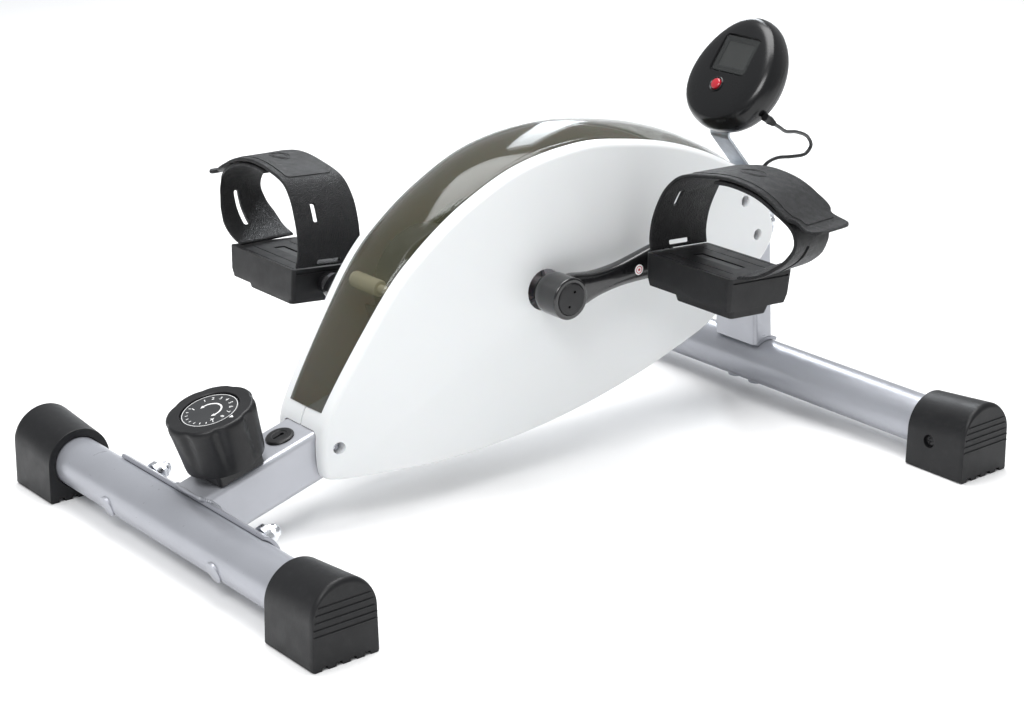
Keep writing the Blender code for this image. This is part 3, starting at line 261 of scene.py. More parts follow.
def loft(rings, closed_ends=True, fans=False):
    """Equal rings of points joined in order, with the ends filled, or joined to each other."""
    count = len(rings[0])
    verts = [tuple(point) for ring in rings for point in ring]
    faces = []
    for k in range(len(rings) - closed_ends):
        low = k * count
        high = (k + 1) % len(rings) * count
        for i in range(count):
            j = (i + 1) % count
            faces.append([low + i, low + j, high + j, high + i])
    if closed_ends and not fans:
        faces.append(list(range(count)))
        faces.append([len(verts) - 1 - i for i in range(count)])
    if fans:
        for first in (0, len(verts) - count):
            middle = len(verts)
            verts.append(tuple(np.mean(verts[first:first + count], axis=0)))
            faces += [[first + i, first + (i + 1) % count, middle] for i in range(count)]
    return verts, faces


def prism_x(outline, low, high):
    return loft([[(x, y, z) for y, z in outline] for x in (low, high)])


def block(low, high):
    return loft([[(low[0], low[1], z), (high[0], low[1], z), (high[0], high[1], z), (low[0], high[1], z)]
                 for z in (low[2], high[2])])


def moved(shape, matrix):
    return [matrix @ Vector(v) for v in shape[0]], shape[1]


def joined(shapes):
    """Several separate shapes as one."""
    verts = []
    faces = []
    for more, corners in shapes:
        faces += [[len(verts) + i for i in face] for face in corners]
        verts += list(more)
    return verts, faces


def pointing(direction, at=(0, 0, 0)):
    turn = Vector(direction).to_track_quat("Z", "Y").to_matrix().to_4x4()
    return Matrix.Translation(Vector(at)) @ turn


def rod(start, end, radius, steps=64):
    length = (Vector(end) - Vector(start)).length
    shape = turned([(0, 0), (radius, 0), (radius, length), (0, length)], steps)
    return moved(shape, pointing(Vector(end) - Vector(start), start))


def arc(centre, radius, first, last, count):
    angles = np.linspace(first, last, count)
    return [(centre[0] + radius * cos(a), centre[1] + radius * sin(a)) for a in angles]


def smooth(points, per_span, loop=False):
    """Points on a centripetal Catmull-Rom curve through these points."""
    pts = [np.array(p, float) for p in points]
    spans = len(pts) if loop else len(pts) - 1
    if not loop:
        pts = [2 * pts[0] - pts[1]] + pts + [2 * pts[-1] - pts[-2]]
    found = []
    for k in range(spans):
        span = [pts[(k + i - loop) % len(pts)] for i in range(4)]
        knots = [0.0]
        for a, b in zip(span, span[1:]):
            knots.append(knots[-1] + sqrt(np.linalg.norm(b - a)))
        for t in np.linspace(knots[1], knots[2], per_span, endpoint=False):
            level = span
            for reach in (1, 2, 3):
                wide = min(reach, 2)
                low = [knots[i + reach - wide] for i in range(4 - reach)]
                high = [knots[i + wide] if reach < 3 else knots[2] for i in range(4 - reach)]
                level = [(level[i] * (high[i] - t) + level[i + 1] * (t - low[i])) / (high[i] - low[i])
                         for i in range(4 - reach)]
            found.append(level[0])
    if not loop:
        found.append(pts[-2])
    return found


def normals_of(points, loop=False):
    """Unit left-hand normals of a 2-D polyline."""
    pts = np.array(points, float)
    if loop:
        along = np.roll(pts, -1, axis=0) - np.roll(pts, 1, axis=0)
    else:
        along = np.gradient(pts, axis=0)
    along /= np.linalg.norm(along, axis=1)[:, None]
    return np.stack([-along[:, 1], along[:, 0]], axis=1)


def rounded_section(half_width, half_height, radius, steps=9):
    outline = []
    for sx, sy, turn in ((1, 1, 0), (-1, 1, 90), (-1, -1, 180), (1, -1, 270)):
        centre = (sx * (half_width - radius), sy * (half_height - radius))
        outline += arc(centre, radius, radians(turn), radians(turn + 90), steps)
    return outline


def tube_along(path, radius, steps=10, loop=False, ripple=0.0, ripple_every=6):
    """A round bead of this radius along a 3-D path, swelling by the ripple at every so many points."""
    pts = [Vector(p) for p in path]
    count = len(pts)
    rings = []
    side = None
    for k, point in enumerate(pts):
        ahead = pts[(k + 1) % count] if loop or k + 1 < count else point
        behind = pts[k - 1] if loop or k else point
        along = (ahead - behind).normalized()
        if side is None:
            side = along.orthogonal().normalized()
        side = (side - along * side.dot(along)).normalized()
        up = along.cross(side)
        wide = radius + ripple * cos(2 * pi * k / ripple_every)
        rings.append([point + side * (wide * cos(a)) + up * (wide * sin(a))
                      for a in np.linspace(0, 2 * pi, steps, endpoint=False)])
    return loft(rings, closed_ends=not loop)


# Materials. Texture coordinates are each object's own, which are the rest frame's metres.

LOOKS = {}


class Nodes:
    """A short way to wire one material's nodes."""

    def __init__(self, name):
        self.material = bpy.data.materials.new(name)
        self.material.use_nodes = True
        self.tree = self.material.node_tree
        self.shader = self.tree.nodes["Principled BSDF"]
        self.place = self.add("ShaderNodeTexCoord").outputs["Object"]
        LOOKS[name] = self.material

    def add(self, kind, inputs=None, **settings):
        node = self.tree.nodes.new(kind)
        for key, value in settings.items():
            setattr(node, key, value)
        for key, value in (inputs or {}).items():
            if isinstance(value, bpy.types.NodeSocket):
                self.tree.links.new(value, node.inputs[key])
            else:
                node.inputs[key].default_value = value
        return node

    def noise(self, scale, detail=4.0, rough=0.55, distortion=0.0, stretch=None):
        vector = self.place
        if stretch:
            vector = self.add("ShaderNodeMapping", {"Vector": vector, "Scale": stretch}).outputs[0]
        inputs = {"Vector": vector, "Scale": scale, "Detail": detail, "Roughness": rough,
                  "Distortion": distortion}
        return self.add("ShaderNodeTexNoise", inputs).outputs["Fac"]

    def cells(self, scale, feature="DISTANCE_TO_EDGE"):
        node = self.add("ShaderNodeTexVoronoi", {"Vector": self.place, "Scale": scale}, feature=feature)
        return node.outputs["Distance"]

    def spread(self, value, low, high, from_low=0.3, from_high=0.7):
        inputs = {"Value": value, "From Min": from_low, "From Max": from_high, "To Min": low, "To Max": high}
        return self.add("ShaderNodeMapRange", inputs).outputs["Result"]

    def blend(self, factor, first, second):
        node = self.add("ShaderNodeMix", data_type="RGBA")
        for index, value in ((0, factor), (6, first), (7, second)):
            if isinstance(value, bpy.types.NodeSocket):
                self.tree.links.new(value, node.inputs[index])
            else:
                node.inputs[index].default_value = (*value, 1.0) if index else value
        return node.outputs[2]

    def bump(self, height, depth):
        """Adds relief of this depth in metres on top of what is there."""
        node = self.add("ShaderNodeBump", {"Height": height, "Distance": depth, "Strength": 1.0})
        normal = self.shader.inputs["Normal"]
        if normal.is_linked:
            self.tree.links.new(normal.links[0].from_socket, node.inputs["Normal"])
        self.tree.links.new(node.outputs["Normal"], normal)

    def set(self, **sockets):
        for key, value in sockets.items():
            socket = self.shader.inputs[key.replace("_", " ")]
            if isinstance(value, bpy.types.NodeSocket):
                self.tree.links.new(value, socket)
            else:
                socket.default_value = value


def scaled(colour, factor):
    return tuple(min(1.0, c * factor) for c in colour)


def moulded(name, colour, roughness, grain=900.0, depth=0.00006, vary=0.18, rough_vary=0.07, dust=0.0,
            dust_colour=(0.30, 0.30, 0.31), **sockets):
    """Moulded plastic: grained, a little uneven in gloss, with a trace of dust in broad patches."""
    n = Nodes(name)
    mottle = n.noise(28.0, 5.0)
    colour_out = n.blend(n.spread(mottle, 0.0, 1.0), scaled(colour, 1 - vary), scaled(colour, 1 + vary))
    if dust:
        speck = n.spread(n.noise(150.0, 8.0, 0.7), 0.0, dust, 0.50, 0.80)
        colour_out = n.blend(speck, colour_out, dust_colour)
    n.set(Base_Color=colour_out)
    n.set(Roughness=n.spread(n.noise(70.0, 6.0, 0.6), roughness - rough_vary, roughness + rough_vary))
    if grain:
        n.bump(n.cells(grain, "SMOOTH_F1"), depth)
        n.bump(n.noise(grain * 1.9, 2.0), depth * 0.4)
    n.set(**sockets)


def painted(name, colour, roughness, metallic, peel=0.00005, **sockets):
    """Stoved paint: orange peel, fine pigment and faint handling marks."""
    n = Nodes(name)
    tone = n.blend(n.spread(n.noise(18.0, 4.0), 0.0, 1.0), scaled(colour, 0.95), scaled(colour, 1.04))
    fleck = n.spread(n.noise(5200.0, 1.0), 0.0, 0.30, 0.55, 0.75)
    n.set(Base_Color=n.blend(fleck, tone, scaled(colour, 1.25)))
    marks = n.noise(220.0, 6.0, 0.7, 0.6, (1.0, 0.35, 1.0))
    n.set(Roughness=n.spread(marks, roughness - 0.05, roughness + 0.08))
    n.set(Metallic=metallic)
    n.bump(n.noise(420.0, 2.0), peel)
    n.bump(n.noise(2600.0, 1.0), peel * 0.25)
    n.set(**sockets)


def plated(name, colour, roughness, stretch=(1.0, 1.0, 1.0), **sockets):
    """Zinc plate or machined steel: cloudy, with fine lines along one direction."""
    n = Nodes(name)
    cloud = n.noise(90.0, 5.0, 0.6)
    n.set(Base_Color=n.blend(n.spread(cloud, 0.0, 1.0), scaled(colour, 0.82), scaled(colour, 1.08)))
    lines = n.noise(700.0, 4.0, 0.7, 0.0, stretch)
    n.set(Roughness=n.spread(lines, roughness - 0.07, roughness + 0.12))
    n.set(Metallic=1.0)
    n.bump(lines, 0.00002)
    n.set(**sockets)


def make_looks():
    painted("silver_paint", (0.36, 0.37, 0.405), 0.32, 0.50, Specular_IOR_Level=0.6)
    painted("silver_tube", (0.42, 0.43, 0.465), 0.32, 0.42, Specular_IOR_Level=0.6)
    painted("weld_metal", (0.38, 0.39, 0.42), 0.46, 0.45, peel=0.00018)
    painted("crank_paint", (0.0065, 0.0065, 0.0072), 0.20, 0.0, peel=0.00003, Coat_Weight=0.5,
            Coat_Roughness=0.08)
    plated("zinc", (0.72, 0.74, 0.78), 0.24)
    plated("bracket_zinc", (0.50, 0.53, 0.57), 0.34, (0.15, 1.0, 1.0))
    plated("steel", (0.42, 0.42, 0.44), 0.32)
    plated("turned_steel", (0.30, 0.30, 0.31), 0.36, (1.0, 0.2, 0.2))
    moulded("cap_plastic", (0.0080, 0.0082, 0.0092), 0.44, 1100.0, 0.00005, dust=0.02,
            Specular_IOR_Level=0.28)
    moulded("knob_plastic", (0.0085, 0.0086, 0.0096), 0.38, 1300.0, 0.00003, dust=0.02,
            Specular_IOR_Level=0.30)
    moulded("pedal_plastic", (0.0075, 0.0075, 0.0084), 0.44, 1200.0, 0.00005, dust=0.02,
            Specular_IOR_Level=0.28)
    moulded("insert_plastic", (0.045, 0.045, 0.047), 0.42, 1600.0, 0.00003, Specular_IOR_Level=0.4)
    moulded("plain_black", (0.009, 0.009, 0.010), 0.36, 1600.0, 0.00002, Specular_IOR_Level=0.4)
    moulded("gloss_black", (0.0040, 0.0042, 0.0048), 0.26, 0, vary=0.10, rough_vary=0.02, Coat_Weight=0.25,
            Coat_Roughness=0.18, Specular_IOR_Level=0.30)
    moulded("bezel_black", (0.010, 0.011, 0.011), 0.18, 0, vary=0.10, rough_vary=0.04)
    moulded("white_plastic", (0.76, 0.762, 0.765), 0.30, 0, vary=0.004, rough_vary=0.01,
            Subsurface_Weight=0.05)
    moulded("cream_plastic", (0.86, 0.80, 0.56), 0.42, 1800.0, 0.00002, vary=0.06)
    moulded("belt_rubber", (0.014, 0.014, 0.014), 0.62, 700.0, 0.00012)
    moulded("cable_jacket", (0.012, 0.012, 0.013), 0.34, 2600.0, 0.00002)
    moulded("white_ink", (0.80, 0.80, 0.80), 0.42, 2600.0, 0.00001, vary=0.03)
    moulded("red_ink", (0.50, 0.03, 0.05), 0.40, 2600.0, 0.00001, vary=0.05)
    moulded("dial_print", (0.022, 0.023, 0.025), 0.34, 2000.0, 0.00002)
    moulded("red_button", (0.40, 0.008, 0.020), 0.16, 0, vary=0.10, rough_vary=0.04, Coat_Weight=0.7,
            Coat_Roughness=0.06, Subsurface_Weight=0.10)
    strap_look("strap_rubber", 620.0, 0.00030)
    strap_look("strap_patch", 1500.0, 0.00014)
    smoked_look()
    lcd_look()
    lens_look()
    floor_look()


def strap_look(name, scale, depth):
    """Soft vinyl with a leather grain: pebbles between creases, the creases painted darker as painted shade,
    and paler worn tops.
    """
    n = Nodes(name)
    pebbles = n.cells(scale)
    worn = n.spread(n.noise(60.0, 6.0, 0.65), 0.0, 0.55, 0.45, 0.80)
    tone = n.blend(worn, (0.0055, 0.0055, 0.0065), (0.0135, 0.0140, 0.0155))
    # The creases between the pebbles are blended toward near-black: painted shade in the creases.
    n.set(Base_Color=n.blend(n.spread(pebbles, 0.55, 0.0, 0.0, 0.12), tone, (0.005, 0.005, 0.0055)))
    n.set(Roughness=n.spread(n.noise(180.0, 5.0), 0.38, 0.54))
    n.bump(n.spread(pebbles, 0.0, 1.0, 0.0, 0.25), depth)
    n.bump(n.noise(scale * 0.35, 4.0), depth * 0.7)
    n.set(Specular_IOR_Level=0.28, Sheen_Weight=0.02, Sheen_Roughness=0.45)


def smoked_look():
    """Smoke-tinted clear plastic: its colour and what is behind it mix, under a hard gloss."""
    n = Nodes("smoked_plastic")
    haze = n.noise(26.0, 3.0)
    n.set(Base_Color=n.blend(n.spread(haze, 0.0, 1.0), (0.050, 0.047, 0.020), (0.056, 0.052, 0.023)))
    n.set(Roughness=n.spread(n.noise(30.0, 2.0), 0.07, 0.09))
    n.set(Alpha=n.spread(haze, 0.39, 0.41))
    n.set(Specular_IOR_Level=0.5, Coat_Weight=0.6, Coat_Roughness=0.07, Coat_IOR=1.5)
    n.set(Coat_Tint=(0.90, 0.97, 1.0, 1.0))


def lcd_look():
    n = Nodes("lcd_glass")
    mottle = n.noise(60.0, 3.0)
    n.set(Base_Color=n.blend(n.spread(mottle, 0.0, 1.0), (0.026, 0.028, 0.027), (0.034, 0.036, 0.035)))
    n.set(Roughness=n.spread(n.noise(300.0, 4.0), 0.30, 0.42))
    n.bump(n.noise(1800.0, 1.0), 0.00001)


def lens_look():
    n = Nodes("clear_lens")
    n.set(Base_Color=n.blend(n.noise(40.0), (0.05, 0.053, 0.053), (0.07, 0.073, 0.073)))
    n.set(Roughness=n.spread(n.noise(160.0, 6.0, 0.7), 0.03, 0.07))
    n.set(Alpha=n.spread(n.noise(30.0), 0.16, 0.20))
    n.set(Specular_IOR_Level=0.8)
    n.bump(n.noise(25.0, 1.0), 0.00005)


def floor_look():
    n = Nodes("studio_floor")
    n.set(Base_Color=n.blend(n.noise(3.0), (0.93, 0.93, 0.93), (0.95, 0.95, 0.95)))
    n.set(Roughness=n.spread(n.noise(9.0), 0.55, 0.65))
    n.bump(n.noise(300.0), 0.00002)


# Pieces


def mesh_of(name, shape):
    mesh = bpy.data.meshes.new(name)
    mesh.from_pydata([tuple(v) for v in shape[0]], [], [list(face) for face in shape[1]])
    edit = bmesh.new()
    edit.from_mesh(mesh)
    bmesh.ops.remove_doubles(edit, verts=edit.verts, dist=1e-6)
    bmesh.ops.recalc_face_normals(edit, faces=edit.faces)
    edit.to_mesh(mesh)
    edit.free()
    return mesh


def settle(obj):
    """Applies the object's modifiers."""
    bpy.context.view_layer.update()
    graph = bpy.context.evaluated_depsgraph_get()
    mesh = bpy.data.meshes.new_from_object(obj.evaluated_get(graph), depsgraph=graph)
    old = obj.data
    obj.modifiers.clear()
    obj.data = mesh
    bpy.data.meshes.remove(old)


def combine(obj, shape, operation):
    helper = bpy.data.objects.new("helper", mesh_of("helper", shape))
    bpy.context.scene.collection.objects.link(helper)
    step = obj.modifiers.new("combine", "BOOLEAN")
    step.operation = operation
    step.solver = "EXACT"
    step.object = helper
    settle(obj)
    bpy.data.objects.remove(helper)


def piece(name, shape, look, stands_for=(), matrix=None, unions=(), cuts=(), bevel=0.0, segments=3, angle=35,
          body="frame", slot=None):
    """One piece: its mesh, its joins and cuts, rounded edges, its material, and what it rides on."""
    shapes = [shape, *unions, *cuts]
    if matrix is not None:
        shapes = [moved(s, matrix) for s in shapes]
    obj = bpy.data.objects.new(name, mesh_of(name, shapes[0]))
    bpy.context.scene.collection.objects.link(obj)
    obj.data.materials.append(LOOKS[look])
    for more in shapes[1:1 + len(unions)]:
        combine(obj, more, "UNION")
    for more in shapes[1 + len(unions):]:
        combine(obj, more, "DIFFERENCE")
    if bevel:
        step = obj.modifiers.new("edges", "BEVEL")
        step.width = bevel
        step.segments = segments
        step.limit_method = "ANGLE"
        step.angle_limit = radians(angle)
        step.use_clamp_overlap = True
    for face in obj.data.polygons:
        face.use_smooth = True
    weighted = obj.modifiers.new("normals", "WEIGHTED_NORMAL")
    weighted.keep_sharp = True
    obj.data.set_sharp_from_angle(angle=radians(50 if bevel else angle))
    settle(obj)
    obj.data.name = name
    slot = slot or SLOTS[look]
    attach(obj, body)
    if stands_for:
        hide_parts(*stands_for)
    return obj


def keep(nodes, look):
    """CAD nodes whose shape is right stay, with a better material."""
    for name in nodes:
        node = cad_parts[name]
        for slot in node.material_slots:
            slot.material = LOOKS[look]


def ring_solid(rings, points=48):
    """A loft of round or hexagonal rings about Z, each (radius, height, hexagonal)."""
    made = []
    for radius, height, hexagonal in rings:
        ring = []
        for k in range(points):
            a = 2 * pi * k / points
            reach = radius
            if hexagonal:
                sixth = pi / 6
                reach = radius * cos(sixth) / cos((a + sixth) % (2 * sixth) - sixth)
            ring.append((reach * cos(a), reach * sin(a), height))
        made.append(ring)
    return loft(made)


def screw_shape(radius, thickness):
    """A pan-head screw seen from its head: a cross recess in a domed disc, its face towards +Z."""
    profile = [(0, -0.004), (radius * 0.5, -0.004), (radius * 0.5, 0), (radius, 0),
               (radius, thickness * 0.35)]
    profile += [(radius * cos(a), thickness * (0.35 + 0.65 * sin(a)))
                for a in np.linspace(0.3, pi / 2 - 0.05, 7)]
    profile.append((0, thickness))
    return turned(profile, 40)


def cross_cuts(radius, thickness):
    wide = radius * 0.16
    long = radius * 0.62
    return [block((-long, -wide, thickness * 0.35), (long, wide, thickness * 2)),
            block((-wide, -long, thickness * 0.35), (wide, long, thickness * 2))]


def tube_centre(y):
    return BAR_HEIGHT + (y + BAR_Y) * tan(TUBE_SLOPE)


def tube_top(y):
    return tube_centre(y) + TUBE_HALF_HEIGHT / cos(TUBE_SLOPE)


# Frame


def tube_rings(start, extra, radius, beyond=0.0, steps=9):
    """The main tube's section at its start, along its bend and as far beyond its end."""
    bend = Vector((0, TUBE_BEND_Y, tube_centre(TUBE_BEND_Y)))
    end = Vector((0, *TUBE_END))
    rear = (end - bend).normalized()
    rear_slope = atan2(rear.z, rear.y)
    stations = [(Vector((0, start, tube_centre(start))), TUBE_SLOPE), (bend, (TUBE_SLOPE + rear_slope) / 2),
                (end + rear * beyond, rear_slope)]
    rings = []
    for centre, slope in stations:
        up = Vector((0, -sin(slope), cos(slope)))
        outline = rounded_section(TUBE_HALF_WIDTH + extra, TUBE_HALF_HEIGHT + extra, radius, steps)
        rings.append([centre + Vector((u, 0, 0)) + up * v for u, v in outline])
    return rings


def make_main_tube():
    start = -BAR_Y + 0.012
    outer = tube_rings(start, 0, 0.0045)
    inner = tube_rings(start, -TUBE_WALL, 0.0025)
    up = Vector((0, -sin(TUBE_SLOPE), cos(TUBE_SLOPE)))
    along = Vector((0, cos(TUBE_SLOPE), sin(TUBE_SLOPE)))
    cuts = [rod((-0.05, -BAR_Y, BAR_HEIGHT), (0.05, -BAR_Y, BAR_HEIGHT), SADDLE_OUTER + GAP, 96)]
    for y, radius in ((KNOB_FOOT.y + 0.0036, 0.0045), (GROMMET_Y, 0.0082)):
        top = Vector((0, y, tube_top(y)))
        cuts.append(rod(top - up * 0.006, top + up * 0.004, radius, 32))
    piece("frame_tube", loft(outer + inner[::-1], closed_ends=False), "silver_tube",
          ["main_frame_tube"], cuts=cuts)
    axis = Vector((0, -BAR_Y, BAR_HEIGHT))
    bead = []
    section = rounded_section(TUBE_HALF_WIDTH + 0.0003, TUBE_HALF_HEIGHT - 0.0002, 0.0045, 9)
    dense = smooth([(u, v) for u, v in section[::2]], 7, loop=True)
    for u, v in dense:
        reach = sqrt(SADDLE_OUTER**2 - v**2)
        bead.append(axis + along * (reach + 0.0006) + up * v + Vector((u, 0, 0)))
    piece("saddle_weld", tube_along(bead, 0.0014, 8, loop=True, ripple=0.00028, ripple_every=4), "weld_metal")


def make_bars():
    for name, y, half in (("front", -BAR_Y, FRONT_HALF), ("rear", BAR_Y, REAR_HALF)):
        reach = half - 0.012
        profile = [(BAR_RADIUS, -reach), (BAR_RADIUS, reach), (BAR_RADIUS - BAR_WALL, reach),
                   (BAR_RADIUS - BAR_WALL, -reach)]
        piece(f"{name}_bar", turned(profile, 128), "silver_paint",
              [f"{name}_stabiliser_tube"], pointing((1, 0, 0), (0, y, BAR_HEIGHT)))
    rear_angle = pi / 2 + POST_LEAN
    for name, y, half, angle, spread in (("front", -BAR_Y, FRONT_SADDLE_HALF, FRONT_BOLT_TILT,
                                          FRONT_SADDLE_SPREAD),
                                         ("rear", BAR_Y, POST_HALF_WIDTH, rear_angle, REAR_SADDLE_SPREAD)):
        outline = arc((y, BAR_HEIGHT), SADDLE_OUTER, angle - spread, angle + spread, 48)
        outline += arc((y, BAR_HEIGHT), SADDLE_INNER, angle + spread, angle - spread, 48)
        piece(f"{name}_saddle", prism_x(outline, -half, half), "silver_paint",
              [f"{name}_saddle_plate"], bevel=0.0006)
    for side_name, side in (("right", 1), ("left", -1)):
        bar_bolt(f"front_saddle_bolt_{side_name}", side * FRONT_BOLT_X, -BAR_Y, FRONT_BOLT_TILT, 0.0090,
                 0.0064, 0.0050)
        bar_bolt(f"rear_post_bolt_{side_name}", side * POST_BOLT_X, BAR_Y, rear_angle, 0.0044, 0.0042, 0.0014)


def bar_bolt(name, x, y, angle, washer, nut, stack):
    """A dome-head bolt through the bar, a washer and a hexagonal acorn nut on the saddle."""
    head = BAR_RADIUS + GAP
    seat = SADDLE_OUTER + GAP
    rings = [(0.0038, -head, False), (0.0038, seat, False), (washer - 0.0003, seat, False),
             (washer, seat + 0.0003, False)]
    rings += acorn(washer, nut, seat + stack, 0.0055)
    place = pointing((0, cos(angle), sin(angle)), (x, y, BAR_HEIGHT))
    piece(f"{name}_set", ring_solid(rings, 72), "zinc", [name], place)
    dome = [(0.0012, -head - 0.0010, False), (0.0045, -head - 0.0009, False), (0.0070, -head - 0.0006, False),
            (0.0078, -head - 0.0002, False), (0.0079, -head + 0.0018, False), (0.0038, -head + 0.0018, False)]
    piece(f"{name}_head", ring_solid(dome, 72), "silver_paint", (), place)


def acorn(washer, nut, base, height):
    """Rings of a washer's top and the acorn nut on it, from the washer's face at this height."""
    dome = nut * 0.80
    rings = [(washer, base - 0.0003, False), (washer - 0.0003, base, False), (nut, base, True),
             (nut * 1.06, base + 0.0004, True), (nut * 1.06, base + height * 0.55, True),
             (nut * 0.92, base + height * 0.70, False), (dome, base + height * 0.72, False)]
    rings += [(dome * cos(a), base + height * 0.80 + dome * 0.95 * sin(a), False)
              for a in np.linspace(0.0, pi / 2 - 0.08, 9)]
    return rings


def cap_section(x, top, draw_in=0.0):
    """The foot cap's section: an arched top, nearly straight sides and a base with four moulded notches."""
    side_in = draw_in * 0.25
    arch = arc((0, 0), 1.0, 0, pi, 49)
    wide = CAP_ARCH - side_in
    ring = [(c * wide, top - CAP_ARCH + s * (CAP_ARCH - draw_in)) for c, s in arch]
    edge = CAP_HALF_WIDTH - side_in
    low = 0.0016
    ring += [(-edge, low), (-edge + low * 0.3, low * 0.3), (-edge + low, 0)]
    for k in range(4):
        middle = (k - 1.5) * CAP_NOTCH_PITCH
        ring += [(middle - CAP_NOTCH_HALF - 0.0004, 0), (middle - CAP_NOTCH_HALF, CAP_NOTCH_DEPTH),
                 (middle + CAP_NOTCH_HALF, CAP_NOTCH_DEPTH), (middle + CAP_NOTCH_HALF + 0.0004, 0)]
    ring += [(edge - low, 0), (edge - low * 0.3, low * 0.3), (edge, low)]
    return [(x, y, z) for y, z in ring]


def make_foot_cap(end, side_name, side, y, half, screw_side):
    inner = half - CAP_LENGTH
    face = half - 0.0007
    rings = [cap_section(side * inner, CAP_INNER_TOP, 0.0005),
             cap_section(side * (inner + 0.0006), CAP_INNER_TOP + 0.0001),
             cap_section(side * (face - CAP_ROLL), CAP_OUTER_TOP)]
    for a in np.linspace(0.25, pi / 2, 7):
        draw = CAP_ROLL * (1 - cos(a))
        rings.append(cap_section(side * (face - CAP_ROLL + CAP_ROLL * sin(a)), CAP_OUTER_TOP, draw))
    cuts = [rod((side * (inner - 0.002), 0, BAR_HEIGHT), (side * (half - 0.010), 0, BAR_HEIGHT),
                BAR_RADIUS + 2 * GAP, 96)]
    screw_x = side * (half - CAP_SCREW_AT[0])
    face_y = screw_side * CAP_HALF_WIDTH
    cuts.append(rod((screw_x, face_y * 0.85, CAP_SCREW_AT[1]), (screw_x, face_y * 1.3, CAP_SCREW_AT[1]),
                    CAP_SCREW_RECESS, 40))
    name = f"{end}_{side_name}_foot"
    place = Matrix.Translation((0, y, 0))
    piece(name, loft(rings), "cap_plastic", [f"{end}_{side_name}_foot_cap"], place,
          cuts=cuts, bevel=0.0004, segments=2, angle=40)
    ribs = []
    for z in CAP_RIBS:
        reach = CAP_HALF_WIDTH - 0.0016
        if z > CAP_OUTER_TOP - CAP_ARCH:
            rise = (z - CAP_OUTER_TOP + CAP_ARCH) / (CAP_ARCH - CAP_ROLL)
            reach = (CAP_ARCH - 0.0024) * sqrt(1 - rise**2)
        ribs.append(sided(side, (face - 0.0010, -reach, z - 0.00045), (half, reach, z + 0.00045)))
    piece(f"{name}_ribs", joined(ribs), "cap_plastic", (), place, bevel=0.00025,
          segments=2)
    screw = moved(screw_shape(*CAP_SCREW), pointing((0, screw_side, 0)))
    slots = [moved(s, pointing((0, screw_side, 0))) for s in cross_cuts(*CAP_SCREW)]
    piece(f"{name}_screw", screw, "plain_black", (),
          Matrix.Translation((screw_x, y + face_y * 0.86, CAP_SCREW_AT[1])), cuts=slots)


def post_point(z):
    return Vector((0, POST_FOOT[0] - (z - POST_FOOT[1]) * tan(POST_LEAN), z))


def post_ring(z, inset, radius):
    outline = rounded_section(POST_HALF_WIDTH - inset, POST_HALF_DEPTH - inset, radius)
    return [post_point(z) + Vector((u, v, 0)) for u, v in outline]


def make_post():
    outer = [post_ring(POST_FOOT[1], 0, 0.0034), post_ring(POST_TOP_Z, 0, 0.0034)]
    inner = [post_ring(POST_TOP_Z, TUBE_WALL, 0.0018), post_ring(POST_FOOT[1], TUBE_WALL, 0.0018)]
    cuts = [rod((-0.05, BAR_Y, BAR_HEIGHT), (0.05, BAR_Y, BAR_HEIGHT), SADDLE_OUTER + GAP, 96)]
    piece("post_tube", loft(outer + inner, closed_ends=False), "silver_tube",
          ["rear_post"], cuts=cuts)
    seat = POST_HALF_WIDTH + 0.0018 + 2 * GAP
    rings = [(0.0020, -seat - 0.0046, False), (0.0052, -seat - 0.0044, False), (0.0060, -seat - 0.0036, True),
             (0.0060, -seat, True), (0.0030, -seat, False), (0.0030, seat, False), (0.0072, seat, False),
             (0.0075, seat + 0.0003, False)]
    rings += acorn(0.0075, 0.0056, seat + 0.0014, 0.0056)
    piece("post_bolt_set", ring_solid(rings, 72), "zinc", ["post_through_bolt"],
          pointing((1, 0, 0), post_point(POST_NUT_Z)))


def make_grommet():
    up = Vector((0, -sin(TUBE_SLOPE), cos(TUBE_SLOPE)))
    top = Vector((0, GROMMET_Y, tube_top(GROMMET_Y)))
    profile = [(0, -0.0050), (0.0076, -0.0050), (0.0076, GAP), (0.0107, GAP), (0.0107, 0.0010),
               (0.0101, 0.0017), (0.0092, 0.0021), (0.0062, 0.0022), (0.0056, 0.0017), (0, 0.0015)]
    cuts = [rod((0, 0.0022, 0.0002), (0, 0.0022, 0.005), 0.0017, 32), block((-0.0008, -0.0052, 0.0006),
                                                                            (0.0008, 0.0022, 0.005))]
    piece("grommet", turned(profile, 72), "plain_black", ["tube_grommet"],
          pointing(up, top), cuts=cuts)


def make_frame():
    make_bars()
    for end, y, half in (("front", -BAR_Y, FRONT_HALF), ("rear", BAR_Y, REAR_HALF)):
        for side_name, side in (("right", 1), ("left", -1)):
            make_foot_cap(end, side_name, side, y, half, 1 if end == "front" else -1)
    make_main_tube()
    make_post()
    make_grommet()


# Tension knob


